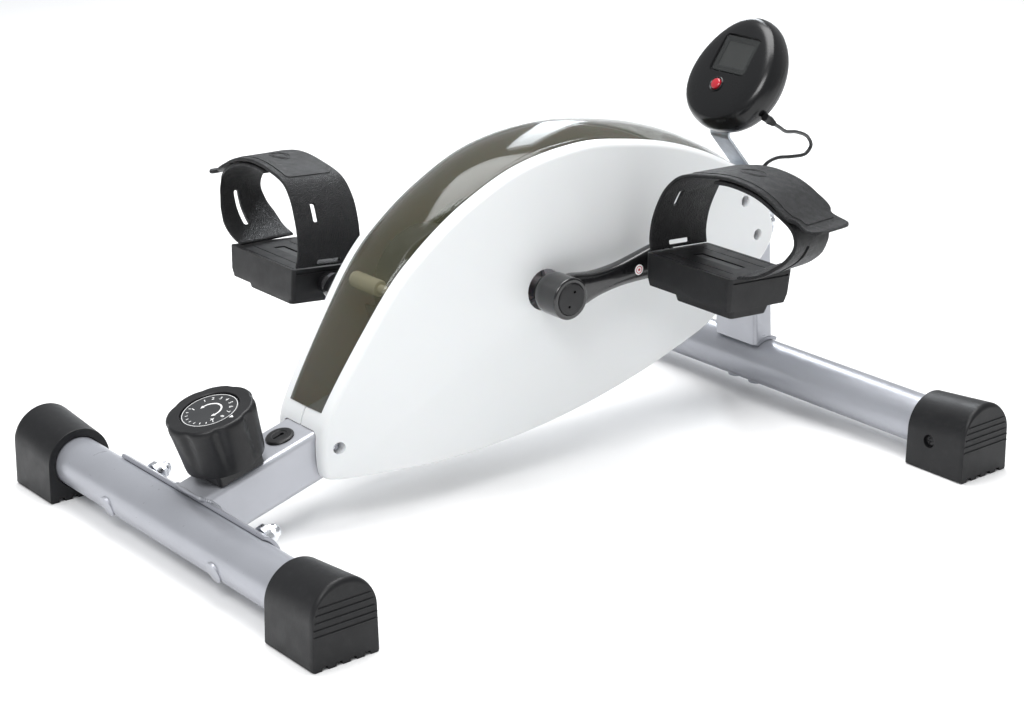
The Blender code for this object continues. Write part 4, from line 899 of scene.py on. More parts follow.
def make_knob():
    place = Matrix.Translation(KNOB_FOOT) @ Matrix.Rotation(TUBE_SLOPE, 4, "X")
    outline = rounded_section(KNOB_BASE_HALF, KNOB_BASE_HALF, 0.003)
    base = loft([[(u, v, z) for u, v in outline] for z in (0, KNOB_BASE_HEIGHT)])
    pillar = turned([(0, KNOB_BASE_HEIGHT - 0.002), (0.0050, KNOB_BASE_HEIGHT - 0.002),
                     (0.0050, KNOB_HEIGHT - 0.0042), (0, KNOB_HEIGHT - 0.0042)], 48)
    piece("knob_seat", base, "plain_black", ["knob_base"], place, [pillar], bevel=0.0008)
    low = KNOB_BASE_HEIGHT + 0.0006
    deck = KNOB_HEIGHT - 0.0034
    side = [(KNOB_LOW_RADIUS - 0.0012, low), (KNOB_LOW_RADIUS - 0.0002, low + 0.0004),
            (KNOB_LOW_RADIUS, low + 0.0016)]
    side += [(float(np.interp(z, (low, 0.037, 0.044), (KNOB_LOW_RADIUS, KNOB_TOP_RADIUS - 0.0008,
                                                       KNOB_TOP_RADIUS))),
              float(z)) for z in np.linspace(low + 0.004, 0.0435, 16)]
    side += [(KNOB_TOP_RADIUS - 0.0030 + 0.0030 * cos(a), 0.0447 + 0.0043 * sin(a))
             for a in np.linspace(0.15, pi / 2, 8)]
    profile = [(KNOB_BORE, low), *side, (DIAL_RADIUS + 0.0010, KNOB_HEIGHT),
               (DIAL_RADIUS + 0.0006, KNOB_HEIGHT - 0.0004), (DIAL_RADIUS + 0.0006, deck), (KNOB_BORE, deck)]
    verts, faces = turned(profile, 256)
    grooved = []
    for x, y, z in verts:
        radius = hypot(x, y)
        angle = atan2(y, x)
        between = 0.5 - 0.5 * cos(KNOB_LOBES * angle)
        if radius > KNOB_LOW_RADIUS - 0.002:
            fade = float(np.interp(z, (0.012, 0.030, 0.0440, 0.0484), (0.10, 0.75, 1.0, 0.35)))
            depth = (KNOB_GROOVE * between**5 + KNOB_FACET * between) * fade
        else:
            depth = 0
        grooved.append((x * (1 - depth / radius), y * (1 - depth / radius), z))
    piece("knob_grip_body", (grooved, faces), "knob_plastic", ["knob_grip"], place, body="tension_knob")
    disc = [(0, deck + 0.0004), (DIAL_RADIUS, deck + 0.0004), (DIAL_RADIUS, deck + 0.0021),
            (DIAL_RADIUS - 0.0004, deck + 0.0024), (0, deck + 0.0024)]
    piece("dial_face", turned(disc, 128), "dial_print", ["dial_plate"], place)
    dial_marks(place, deck + 0.00242)
    arrow = [(0.0, -0.0016), (0.0030, 0.0), (0.0, 0.0016)]
    turn = Matrix.Rotation(radians(8), 4, "Z") @ Matrix.Translation((DIAL_RADIUS + 0.0020, 0, 0))
    shape = loft([[(u, v, KNOB_HEIGHT + z) for u, v in arrow] for z in (-0.0003, 0.00008)])
    piece("knob_pointer", shape, "white_ink", (), place @ turn, body="tension_knob")


def flat_arc(inner, outer, first, last, low, thick, count=64):
    outline = arc((0, 0), outer, first, last, count) + arc((0, 0), inner, last, first, count)
    return loft([[(x, y, z) for x, y in outline] for z in (low, low + thick)])


def text_shape(words, size, thick):
    """Generic lettering as a shape lying in the X-Y plane, centred on the origin."""
    curve = bpy.data.curves.new("words", "FONT")
    curve.body = words
    curve.size = size
    curve.extrude = thick / 2
    curve.align_x = "CENTER"
    curve.align_y = "CENTER"
    curve.resolution_u = 3
    holder = bpy.data.objects.new("words", curve)
    bpy.context.scene.collection.objects.link(holder)
    bpy.context.view_layer.update()
    mesh = bpy.data.meshes.new_from_object(holder.evaluated_get(bpy.context.evaluated_depsgraph_get()))
    shape = [v.co.copy() for v in mesh.vertices], [list(p.vertices) for p in mesh.polygons]
    bpy.data.objects.remove(holder)
    bpy.data.meshes.remove(mesh)
    return shape


def dial_marks(place, height):
    """White print on the dial: an outline, a double-ended arrow, ticks, numbers, plus and minus."""
    thick = 0.00008
    marks = [flat_arc(DIAL_RADIUS - 0.0013, DIAL_RADIUS - 0.0009, 0, 2 * pi - 0.001, height, thick, 128)]
    marks.append(flat_arc(0.0080, 0.0092, radians(-8), radians(178), height, thick))
    for angle, heading in ((-8, -1), (178, 1)):
        a = radians(angle)
        tip = a + heading * 0.34
        head = [(0.0070 * cos(a), 0.0070 * sin(a)), (0.0102 * cos(a), 0.0102 * sin(a)),
                (0.0086 * cos(tip), 0.0086 * sin(tip))]
        marks.append(loft([[(x, y, z) for x, y in head] for z in (height, height + thick)]))
    for k in range(8):
        a = radians(160 - 22.5 * k)
        at = Matrix.Translation((0.0155 * cos(a), 0.0155 * sin(a), height + thick / 2))
        marks.append(moved(text_shape(str(k + 1), 0.0044, thick), at @ Matrix.Rotation(a - pi / 2, 4, "Z")))
    for x, upright in ((-0.0125, False), (0.0125, True)):
        y = -0.0060
        marks.append(block((x - 0.0016, y - 0.0003, height), (x + 0.0016, y + 0.0003, height + thick)))
        if upright:
            marks.append(block((x - 0.0003, y + 0.0004, height), (x + 0.0003, y + 0.0016, height + thick)))
            marks.append(block((x - 0.0003, y - 0.0016, height), (x + 0.0003, y - 0.0004, height + thick)))
    for k in range(9):
        a = radians(205 + 16.25 * k)
        marks.append(flat_arc(0.0158, 0.0178, a - 0.016, a + 0.016, height, thick, 3))
    piece("dial_marks", joined(marks), "white_ink", (), place)


# Shell


def shell_half_width(y):
    ys, widths = zip(*SHELL_WIDTHS)
    return float(np.interp(y, ys, widths))


def shell_outline():
    """The rim's outline, and for each point whether the see-through cover lies along it."""
    points = smooth(SHELL_OUTLINE, SHELL_STEPS, loop=True)
    first = ARCH_FIRST * SHELL_STEPS
    last = ARCH_LAST * SHELL_STEPS
    before = points[first - 1] - points[first]
    after = points[last + 1] - points[last]
    points.insert(last + 1, points[last] + after * ARCH_END_GAP / np.linalg.norm(after))
    points.insert(first, points[first] + before * ARCH_END_GAP / np.linalg.norm(before))
    return np.array(points), [first < i <= last + 1 for i in range(len(points))]


def shell_outward(outline):
    normals = normals_of(outline, loop=True)
    return normals if ((outline - SHELL_CENTRE) * normals).sum() > 0 else -normals


def face_x(y, z):
    """How far out the side cover's face is at a place near its middle."""
    outline, _ = shell_outline()
    offset = np.array((y, z)) - SHELL_CENTRE
    angles = np.arctan2(outline[:, 1] - SHELL_CENTRE[1], outline[:, 0] - SHELL_CENTRE[0])
    nearest = int(np.argmin(np.abs(np.angle(np.exp(1j * (angles - atan2(offset[1], offset[0])))))))
    scale = np.linalg.norm(offset) / np.linalg.norm(outline[nearest] - SHELL_CENTRE)
    return shell_half_width(y) + FACE_RISE + FACE_CROWN * (1 - scale**2)


def shell_rings(side):
    outline, arch = shell_outline()
    inward = -shell_outward(outline)
    centre = np.array(SHELL_CENTRE)
    count = len(outline)
    edge = [shell_half_width(y) for y, _ in outline]
    fillet = outline + inward * FACE_FILLET

    def crowned(scale, sink=0.0):
        ring = centre + (fillet - centre) * scale
        crown = FACE_RISE + FACE_CROWN * (1 - scale**2) - sink
        return [(shell_half_width(y) + crown, y, z) for y, z in ring]

    scales = (0.08, 0.2, 0.35, 0.5, 0.65, 0.8, 0.9, 0.96)
    rings = [crowned(s) for s in scales]
    for a in np.linspace(pi / 2, 0, 8):
        inset = FACE_FILLET * (1 - cos(a))
        ring = outline + inward * inset
        rings.append([(edge[i] + FACE_RISE * sin(a), *ring[i]) for i in range(count)])
    reach = [edge[i] - LIP_WIDTH if arch[i] else SEAM_HALF for i in range(count)]
    soft = outline + inward * 0.0006
    inner_outline = outline + inward * SHELL_WALL
    rings.append([(reach[i] + 0.0006, *outline[i]) for i in range(count)])
    rings.append([(reach[i], *soft[i]) for i in range(count)])
    rings.append([(reach[i], *inner_outline[i]) for i in range(count)])
    rings.append([(edge[i] - 0.0008, *inner_outline[i]) for i in range(count)])
    deep = outline + inward * 0.0058
    rings.append([(edge[i] + FACE_RISE - SHELL_WALL, *deep[i]) for i in range(count)])
    rings += [crowned(s, SHELL_WALL) for s in reversed(scales[:-1])]
    return [[(side * x, y, z) for x, y, z in ring] for ring in rings]


def make_side_cover(side_name, side):
    cuts = [rod((side * 0.030, CRANK.y, CRANK.z), (side * 0.070, CRANK.y, CRANK.z), CRANK_HOLE_RADIUS, 96),
            loft(tube_rings(-0.2000, 0.0006, 0.0045, beyond=0.02))]
    for y, z in COVER_SCREWS:
        x = face_x(y, z)
        cuts.append(rod((side * (x - 0.012), y, z), (side * (x + 0.010), y, z), COVER_SCREW_RECESS, 48))
    piece(f"{side_name}_shell", loft(shell_rings(side), fans=True), "white_plastic",
          [f"{side_name}_side_cover"], cuts=cuts, angle=40)
    for k, (y, z) in enumerate(COVER_SCREWS):
        x = side * (face_x(y, z) - 0.0075)
        cup_profile = [(0, -0.0020), (0.0056, -0.0020), (0.0056, 0.0045), (COVER_SCREW_RECESS, 0.0045),
                       (COVER_SCREW_RECESS, -0.0008),
                       (0, -0.0008)]
        place = pointing((side, 0, 0), (x, y, z))
        piece(f"{side_name}_screw_cup_{k}", turned(cup_profile, 48), "white_plastic",
              (), place)
        piece(f"{side_name}_cover_screw_{k}", screw_shape(*COVER_SCREW), "zinc", (), place,
              cuts=cross_cuts(*COVER_SCREW))


def make_smoked_cover():
    """The see-through strip that closes the arch, with a thicker rib along each edge."""
    outline, arch = shell_outline()
    outward = shell_outward(outline)
    first = arch.index(True)
    last = first + sum(arch) - 1
    across = np.sin(np.linspace(-pi / 2, pi / 2, 33))
    ramp = 2 * SHELL_STEPS

    def layer(sink):
        rows = []
        for i in range(first, last + 1):
            half = shell_half_width(outline[i][0]) - LIP_WIDTH - 0.0006
            end = min(1.0, (i - first + 1) / ramp, (last - i + 1) / ramp)
            fade = end * end * (3 - 2 * end)
            row = []
            for u in across:
                rim = abs(u) > COVER_RIB_FROM or min(i - first, last - i) < COVER_RIB_ROWS
                rise = COVER_BULGE * fade * (1 - u**2) - sink + (COVER_RIB if rim and sink == 0 else 0)
                place = outline[i] + outward[i] * rise
                row.append((u * half, *place))
            rows.append(row)
        return rows

    rings = [top + under[::-1] for top, under in zip(layer(0), layer(COVER_WALL))]
    piece("smoked_arch", loft(rings), "smoked_plastic", ["smoked_top_cover"], angle=30)
    profile = [(0, -0.0245), (0.0050, -0.0245), (0.0058, -0.0240), (0.0062, -0.0225), (0.0062, 0.0066),
               (0.0058, 0.0076), (0.0050, 0.0080), (0.0034, 0.0080), (0.0034, 0.0240), (0.0029, 0.0245),
               (0, 0.0245)]
    piece("standoff_post", turned(profile, 72), "cream_plastic", ["cover_standoff"],
          pointing((1, 0, 0), (0, *STANDOFF)))


def make_shell():
    for side_name, side in (("right", 1), ("left", -1)):
        make_side_cover(side_name, side)
    make_smoked_cover()


# Crank and pedals


def crank_matrix():
    return Matrix.Translation(CRANK) @ Matrix.Rotation(CRANK_ANGLE, 4, "X")


def pedal_matrix(side, tilt):
    return (crank_matrix() @ Matrix.Translation((0, side * CRANK_LENGTH, 0))
            @ Matrix.Rotation(tilt - CRANK_ANGLE, 4, "X"))


def arm_shape(side):
    """The cast arm: soft-cornered sections, waisted beside the boss and round at the pedal eye."""
    widths = [(0.000, 0.0150), (0.010, 0.0146), (0.016, 0.0132), (0.022, 0.0116), (0.030, 0.0100),
              (0.042, 0.0090), (0.055, 0.0090), (0.070, 0.0104), (0.086, 0.0122), (CRANK_LENGTH, EYE_RADIUS)]
    stations = [tuple(p) for p in smooth(widths, 5)]
    stations += [(CRANK_LENGTH + EYE_RADIUS * sin(a), EYE_RADIUS * cos(a))
                 for a in np.linspace(0.15, 1.50, 12)]
    middle = (BLADE_IN + BLADE_OUT) / 2
    thick = (BLADE_OUT - BLADE_IN) / 2
    rings = []
    for y, half in stations:
        ring = []
        for a in np.linspace(0, 2 * pi, 40, endpoint=False):
            c, s = cos(a), sin(a)
            grow = (abs(c)**3.2 + abs(s)**3.2) ** (-1 / 3.2)
            ring.append((side * (middle + thick * c * grow), side * y, half * s * grow))
        rings.append(ring)
    return loft(rings)


def make_crank_side(side_name, side):
    place = crank_matrix()
    body = "crank_set"
    boss = [(0, BOSS_IN)]
    boss += [(BOSS_RADIUS - 0.0048 * (1 - sin(a)), BOSS_IN + 0.0095 * (1 - cos(a)))
             for a in np.linspace(0, pi / 2, 10)]
    boss += arc((BOSS_RADIUS - 0.0016, BOSS_OUT - 0.0016), 0.0016, 0, pi / 2, 7)
    boss.append((0, BOSS_OUT))
    eye = side * CRANK_LENGTH
    cuts = [rod((side * 0.050, 0, 0), (side * 0.082, 0, 0), AXLE_RADIUS + GAP, 48),
            rod((side * 0.0792, 0, 0), (side * 0.090, 0, 0), CRANK_CAP_RADIUS + GAP, 96),
            rod((side * 0.060, eye, 0), (side * 0.090, eye, 0), 0.0072, 48)]
    piece(f"{side_name}_arm", arm_shape(side), "crank_paint", [f"{side_name}_crank_arm"], place,
          [moved(turned(boss, 96), pointing((side, 0, 0)))], cuts, body=body)
    cap = [(0, 0.0796), (CRANK_CAP_RADIUS, 0.0796), (CRANK_CAP_RADIUS, 0.0836),
           (CRANK_CAP_RADIUS - 0.0003, 0.0841), (CRANK_CAP_RADIUS - 0.0010, 0.0844), (0, 0.0846)]
    holes = [rod((u, 0.0, 0.0826), (u, 0.0, 0.0900), 0.0011, 24) for u in (-0.0058, 0.0058)]
    turn = pointing((side, 0, 0)) @ Matrix.Rotation(radians(58), 4, "Z")
    piece(f"{side_name}_cap", turned(cap, 96), "plain_black", [f"{side_name}_crank_cap"],
          place @ turn, cuts=holes, body=body)
    spindle = [(0, 0.0660), (0.0062, 0.0660), (0.0068, 0.0666), (0.0068, BLADE_OUT + GAP),
               (0.0086, BLADE_OUT + GAP),
               (0.0090, BLADE_OUT + 0.0008), (0.0090, 0.0851), (0.0086, 0.0855), (SPINDLE_RADIUS, 0.0855),
               (SPINDLE_RADIUS, 0.1696), (SPINDLE_RADIUS - 0.0004, 0.1700), (0, 0.1700)]
    flats = [block((-0.02, 0.0079, 0.0802), (0.02, 0.02, 0.0850)),
             block((-0.02, -0.02, 0.0802), (0.02, -0.0079, 0.0850))]
    piece(f"{side_name}_spindle", turned(spindle, 72), "steel", [f"{side_name}_pedal_spindle"],
          place @ pointing((side, 0, 0), (0, side * CRANK_LENGTH, 0)), cuts=flats, body=body)
    spot = place @ pointing((side, 0, 0), (side * (BLADE_OUT - 0.00008), side * 0.0700, 0))
    disc = [(0, 0), (0.0040, 0), (0.0040, 0.00022), (0.0038, 0.00030), (0, 0.00030)]
    piece(f"{side_name}_arm_mark", turned(disc, 64), "white_ink", (), spot, body=body, slot="black_plastic")
    rings = [flat_arc(0.0024, 0.0030, 0, 2 * pi - 0.001, 0.00028, 0.00008),
             flat_arc(0.0002, 0.0011, 0, 2 * pi - 0.001, 0.00028, 0.00008, 32)]
    piece(f"{side_name}_arm_mark_rings", joined(rings), "red_ink", (), spot, body=body)


def pedal_box(side):
    rings = []
    for z, draft in ((-PEDAL_HALF_HEIGHT, 0.0022), (-0.006, 0.0008), (PEDAL_HALF_HEIGHT, 0.0)):
        low, high = sorted((side * (PEDAL_IN + draft), side * (PEDAL_OUT - draft)))
        outline = rounded_section((high - low) / 2, PEDAL_HALF_LENGTH - draft, 0.003)
        rings.append([((low + high) / 2 + u, v, z) for u, v in outline])
    return loft(rings)


def sided(side, low, high):
    """A block whose x runs outward on this side."""
    x = sorted((side * low[0], side * high[0]))
    return block((x[0], low[1], low[2]), (x[1], high[1], high[2]))


def make_pedal(side_name, side, tilt, slack):
    place = pedal_matrix(side, tilt)
    body = f"{side_name}_pedal"
    top = PEDAL_HALF_HEIGHT
    long = PEDAL_HALF_LENGTH
    cuts = [rod((side * 0.080, 0, 0), (side * 0.1712, 0, 0), SPINDLE_RADIUS + GAP, 48),
            sided(side, (PEDAL_SLOT_IN, -PEDAL_SLOT_HALF, PEDAL_SLOT_FLOOR),
                  (PEDAL_SLOT_OUT, PEDAL_SLOT_HALF, 0.0200))]
    for y in (-long + 0.0030, long - 0.0036):
        cuts.append(sided(side, (PEDAL_IN + 0.004, y, top - 0.0006),
                          (PEDAL_OUT - 0.004, y + 0.0006, top + 0.002)))
    for y in (-0.0175, 0.0165):
        cuts.append(sided(side, (0.1020, y, top - 0.0005), (0.1700, y + 0.0008, top + 0.002)))
    cuts.append(sided(side, (PEDAL_OUT - 0.0012, -long + 0.0034, top - 0.0040),
                      (PEDAL_OUT + 0.002, long - 0.0040, top - 0.0026)))
    cuts.append(sided(side, (PEDAL_IN - 0.002, -long + 0.0034, top - 0.0040),
                      (PEDAL_IN + 0.0010, long - 0.0040, top - 0.0026)))
    for y in (-long - 0.001, long - 0.0004):
        cuts.append(sided(side, (PEDAL_OUT - 0.0046, y, -0.0080),
                          (PEDAL_OUT - 0.0040, y + 0.0014, top - 0.0024)))
    piece(f"{side_name}_pedal_block", pedal_box(side), "pedal_plastic",
          [f"{side_name}_pedal_body"], place, cuts=cuts, bevel=0.0007, segments=3, angle=30, body=body)
    knurl = []
    for x, reach in ((0.0863, 0.0078), (0.0868, 0.0084), (0.0912, 0.0084), (0.0917, 0.0078)):
        ring = []
        for k in range(144):
            a = 2 * pi * k / 144
            tooth = 0.00045 if k % 4 < 2 else 0.0
            ring.append((side * x, (reach + tooth) * cos(a), (reach + tooth) * sin(a)))
        knurl.append(ring)
    bore = [[(side * x, (SPINDLE_RADIUS + GAP) * cos(a), (SPINDLE_RADIUS + GAP) * sin(a))
             for a in np.linspace(0, 2 * pi, 144, endpoint=False)] for x in (0.0917, 0.0863)]
    piece(f"{side_name}_pedal_ring", loft(knurl + bore, closed_ends=False), "plain_black", (),
          place, angle=20, body=body)
    insert = sided(side, (PEDAL_SLOT_IN + 0.0004, 0.0004 - PEDAL_SLOT_HALF, PEDAL_SLOT_FLOOR + 0.0002),
                   (PEDAL_SLOT_OUT - 0.0004, PEDAL_SLOT_HALF - 0.0004, PEDAL_HALF_HEIGHT - 0.0008))
    piece(f"{side_name}_pedal_insert", insert, "insert_plastic", (), place, bevel=0.0004, body=body)
    low, high = sorted((side * WEIGHT_IN, side * WEIGHT_OUT))
    rings = []
    for inset, z, half in ((0, -WEIGHT_TOP, 0.0200), (0.0002, -0.0140, 0.0199),
                           (0.002, -WEIGHT_BASE, 0.0180)):
        outline = rounded_section((high - low) / 2 - inset, half, 0.0035)
        rings.append([((low + high) / 2 + u, v, z) for u, v in outline])
    piece(f"{side_name}_weight", loft(rings), "pedal_plastic",
          [f"{side_name}_pedal_weight"], place, bevel=0.0008, angle=30, body=body)
    make_strap(side_name, side, "upper", UPPER_STRAP, UPPER_TAPER, slack, place)
    make_strap(side_name, side, "lower", LOWER_STRAP, LOWER_TAPER, slack, place)


def strap_map(side, path, taper, slack):
    """How a strap lies: its length, where it is at a height, and a function that places a point on it.

    That function takes s along the strap, y across it and t out of it.
    """
    middle = np.array(smooth(path, 14))
    facing = normals_of(middle)
    steps = np.linalg.norm(np.diff(middle, axis=0), axis=1)
    along = np.concatenate([[0], np.cumsum(steps)])
    taper_x, taper_width = zip(*taper)

    def place(s, y, t):
        x, z, nx, nz = (np.interp(s, along, column) for column in (*middle.T, *facing.T))
        x, z = x + nx * t, z + nz * t
        width = float(np.interp(x, taper_x, taper_width))
        askew = STRAP_SKEW * float(np.interp(x, (0.100, 0.150), (0, 1)))
        reach = min(x, STRAP_MIDDLE) + max(x - STRAP_MIDDLE, 0) * slack
        return (side * reach - askew * y * width, y * width, z)

    def at_height(z):
        rising = int(np.argmax(middle[:, 1]))
        return float(np.interp(z, middle[:rising, 1], along[:rising]))

    return float(along[-1]), at_height, place


def strap_slab(place, first, last, half, low, high, rows=24, columns=10, corner=0.0, middle=0.0):
    """A slab that follows the strap, from s first to last, out to this half width, between two depths."""
    rings = []
    for s in np.linspace(first, last, rows):
        near_end = min(s - first, last - s)
        wide = half
        if corner and near_end < corner:
            wide = half - corner + sqrt(max(0.0, corner**2 - (corner - near_end) ** 2))
        ys = np.linspace(middle - wide, middle + wide, columns)
        rings.append([place(s, y, high) for y in ys] + [place(s, y, low) for y in ys[::-1]])
    return loft(rings)


def make_strap(side_name, side, part, path, taper, slack, matrix):
    length, at_height, place = strap_map(side, path, taper, slack)
    half = STRAP_HALF_WIDTH
    thick = STRAP_THICKNESS / 2
    edge = STRAP_EDGE
    section = rounded_section(half, thick, edge, 5)
    top = [(y, thick + (STRAP_RIM_RISE if abs(y) > half - STRAP_RIM else 0.0))
           for y in np.linspace(half - edge, -half + edge, 23)]
    under = [(y, -thick) for y in np.linspace(-half + edge, half - edge, 23)]
    right_top, left_top, left_low, right_low = (section[i:i + 5] for i in (0, 5, 10, 15))
    outline = right_top + top[1:-1] + left_top + left_low + under[1:-1] + right_low
    rows = 130
    rings = []
    for s in np.linspace(0, length, rows):
        end = min(1.0, (s / edge if s < edge else (length - s) / edge if length - s < edge else 1.0) + 0.15)
        rings.append([place(s, y, t * (0.55 + 0.45 * end)) for y, t in outline])
    cuts = []
    if part == "upper":
        cuts.append(strap_slab(place, at_height(0.0158), at_height(0.0192), 0.0105, -0.004, 0.004, 10, 8,
                               0.0010))
        cuts.append(strap_slab(place, at_height(0.0470), at_height(0.0600), 0.0025, -0.004, 0.004, 18, 4,
                               0.0010, -0.0105))
    else:
        cuts.append(strap_slab(place, at_height(0.0220), at_height(0.0460), 0.0030, -0.004, 0.004, 26, 4,
                               0.0010, -0.0070))
    body = f"{side_name}_pedal"
    piece(f"{side_name}_strap_{part}", loft(rings), "strap_rubber",
          [f"{side_name}_{part}_strap"], matrix, cuts=cuts, angle=45, body=body)
    if part == "lower":
        return
    first, last = length * 0.36, length * 0.93
    patch_half = half - 0.0062
    piece(f"{side_name}_strap_patch", strap_slab(place, first, last, patch_half, thick - 0.0002,
                                                 thick + 0.00042, 60, 24, 0.0030),
          "strap_patch", (), matrix, angle=40, body=body)
    s_middle = length * 0.57
    for ring_name, wide, tall in (("outer", 0.0120, 0.0078), ("inner", 0.0090, 0.0050)):
        ring = [place(s_middle + wide * cos(a), tall * sin(a), thick + 0.00045)
                for a in np.linspace(0, 2 * pi, 72, endpoint=False)]
        piece(f"{side_name}_strap_{ring_name}_ring", tube_along(ring, 0.00032, 6, loop=True), "strap_rubber",
              (), matrix, body=body)


def make_cranks():
    make_crank_side("right", 1)
    make_crank_side("left", -1)
    make_pedal("right", 1, -0.070, 0.96)
    make_pedal("left", -1, -0.091, 0.84)


# Display


def egg(scale, depth, inset=0.0):
    """The display's outline at one depth behind its front, in its own frame: x, up, and out of its face."""
    half_width = EGG_HALF_WIDTH * scale - inset
    half_height = EGG_HALF_HEIGHT * scale - inset
    return [(half_width * cos(a) * (1 - 0.12 * sin(a)), half_height * sin(a) - EGG_DROP, -depth)
            for a in np.linspace(0, 2 * pi, EGG_STEPS, endpoint=False)]


def window_prism(grow, low, high, flare=0.0):
    near = rounded_section(WINDOW[0] / 2 + grow, WINDOW[1] / 2 + grow, 0.0026 + grow)
    far = rounded_section(WINDOW[0] / 2 + grow + flare, WINDOW[1] / 2 + grow + flare, 0.0026 + grow + flare)
    return loft([[(x, y, low) for x, y in near], [(x, y, high) for x, y in far]])


def make_display():
    seat = Matrix.Translation(DISPLAY) @ Matrix.Rotation(pi / 2 - DISPLAY_TILT, 4, "X")
    form = [(0.30, -0.0006), (0.45, -0.0005), (0.60, -0.0002), (0.72, 0.0003), (0.82, 0.0011), (0.90, 0.0026),
            (0.955, 0.0052), (0.985, 0.0090), (1.0, 0.0135), (0.997, 0.0170), (0.985, DISPLAY_SEAM)]
    dense = smooth(form, 4)
    outer = [egg(float(s), float(d)) for s, d in dense]
    inner = [egg(0.985, DISPLAY_SEAM, DISPLAY_WALL), egg(0.93, 0.0080, DISPLAY_WALL),
             egg(0.78, DISPLAY_WALL, DISPLAY_WALL)]
    x, up = BUTTON_AT
    cuts = [window_prism(0.0004, -0.010, 0.010), rod((x, up, -0.010), (x, up, 0.010), BUTTON_RADIUS + 0.0005,
                                                     64),
            window_prism(0.0004, -0.0012, 0.0016, 0.0016)]
    piece("display_housing", loft(outer + inner), "gloss_black", ["display_front_housing"], seat,
          cuts=cuts, angle=40)
    seam = DISPLAY_SEAM + GAP
    outer = [egg(0.975, seam), egg(0.972, seam + 0.0008)]
    outer += [egg(float(s), float(d)) for s, d in smooth([(0.965, 0.0222), (0.93, 0.0255), (0.87, 0.0285),
                                                         (0.78, 0.0312), (0.66, 0.0330),
                                                          (0.55, DISPLAY_DEPTH)], 4)]
    inner = [egg(0.52, DISPLAY_DEPTH - DISPLAY_WALL), egg(0.76, 0.0285, 0.0010), egg(0.90, 0.0245, 0.0014),
             egg(0.975, seam, DISPLAY_WALL)]
    verts, faces = loft(outer + inner, closed_ends=False)
    outside = EGG_STEPS * (len(outer) - 1)
    inside = EGG_STEPS * len(outer)
    faces = faces[:outside] + faces[inside:]
    faces += [list(range(outside, inside)), list(range(inside + EGG_STEPS - 1, inside - 1, -1))]
    slot = STRIP_HALF_WIDTH + 0.0008
    piece("display_back", (verts, faces), "plain_black", ["display_back_cover"], seat,
          cuts=[block((-slot, -0.0750, -0.0268), (slot, -0.0350, -0.0218))], angle=40, slot="gloss_black")
    half = (WINDOW[0] / 2, WINDOW[1] / 2)
    frame_outer = [(p[0], p[1]) for p in rounded_section(half[0] - 0.0001, half[1] - 0.0001, 0.0024)]
    frame_inner = [(p[0], p[1]) for p in rounded_section(half[0] - 0.0042, half[1] - 0.0046, 0.0012)]
    rings = [[(a, b, -0.0016) for a, b in frame_outer], [(a, b, -0.0018) for a, b in frame_inner],
             [(a, b, -0.0024) for a, b in frame_inner], [(a, b, -0.0024) for a, b in frame_outer]]
    piece("display_bezel", loft(rings, closed_ends=False), "bezel_black", (), seat)
    outline = rounded_section(half[0] - 0.0004, half[1] - 0.0004, 0.0022)
    lens = loft([[(a, b, z) for a, b in outline] for z in (-0.0014, -0.0005)])
    piece("display_window", lens, "clear_lens", ["display_lens"], seat)
    keep(["lcd_panel"], "lcd_glass")
    button = [(0, -0.0055), (0.0062, -0.0055), (0.0062, -0.0035), (BUTTON_RADIUS, -0.0035),
              (BUTTON_RADIUS, 0.0012)]
    button += [(BUTTON_RADIUS - 0.0016 + 0.0016 * cos(a), 0.0012 + 0.0014 * sin(a))
               for a in np.linspace(0.2, pi / 2, 7)]
    button += [(0.0018, 0.0030), (0, 0.0031)]
    piece("button_cap", turned(button, 72), "red_button", ["reset_button"],
          seat @ Matrix.Translation((x, up, 0)), body="reset_button")
    collar = [(BUTTON_RADIUS + 0.0006, -0.0006), (BUTTON_RADIUS + 0.0007, 0.0012),
              (BUTTON_RADIUS + 0.0012, 0.0015),
              (BUTTON_RADIUS + 0.0019, 0.0012), (BUTTON_RADIUS + 0.0022, -0.0006)]
    piece("button_collar", turned(collar, 72), "gloss_black", (),
          seat @ Matrix.Translation((x, up, 0)))
    make_bracket()
    make_cable_ends()


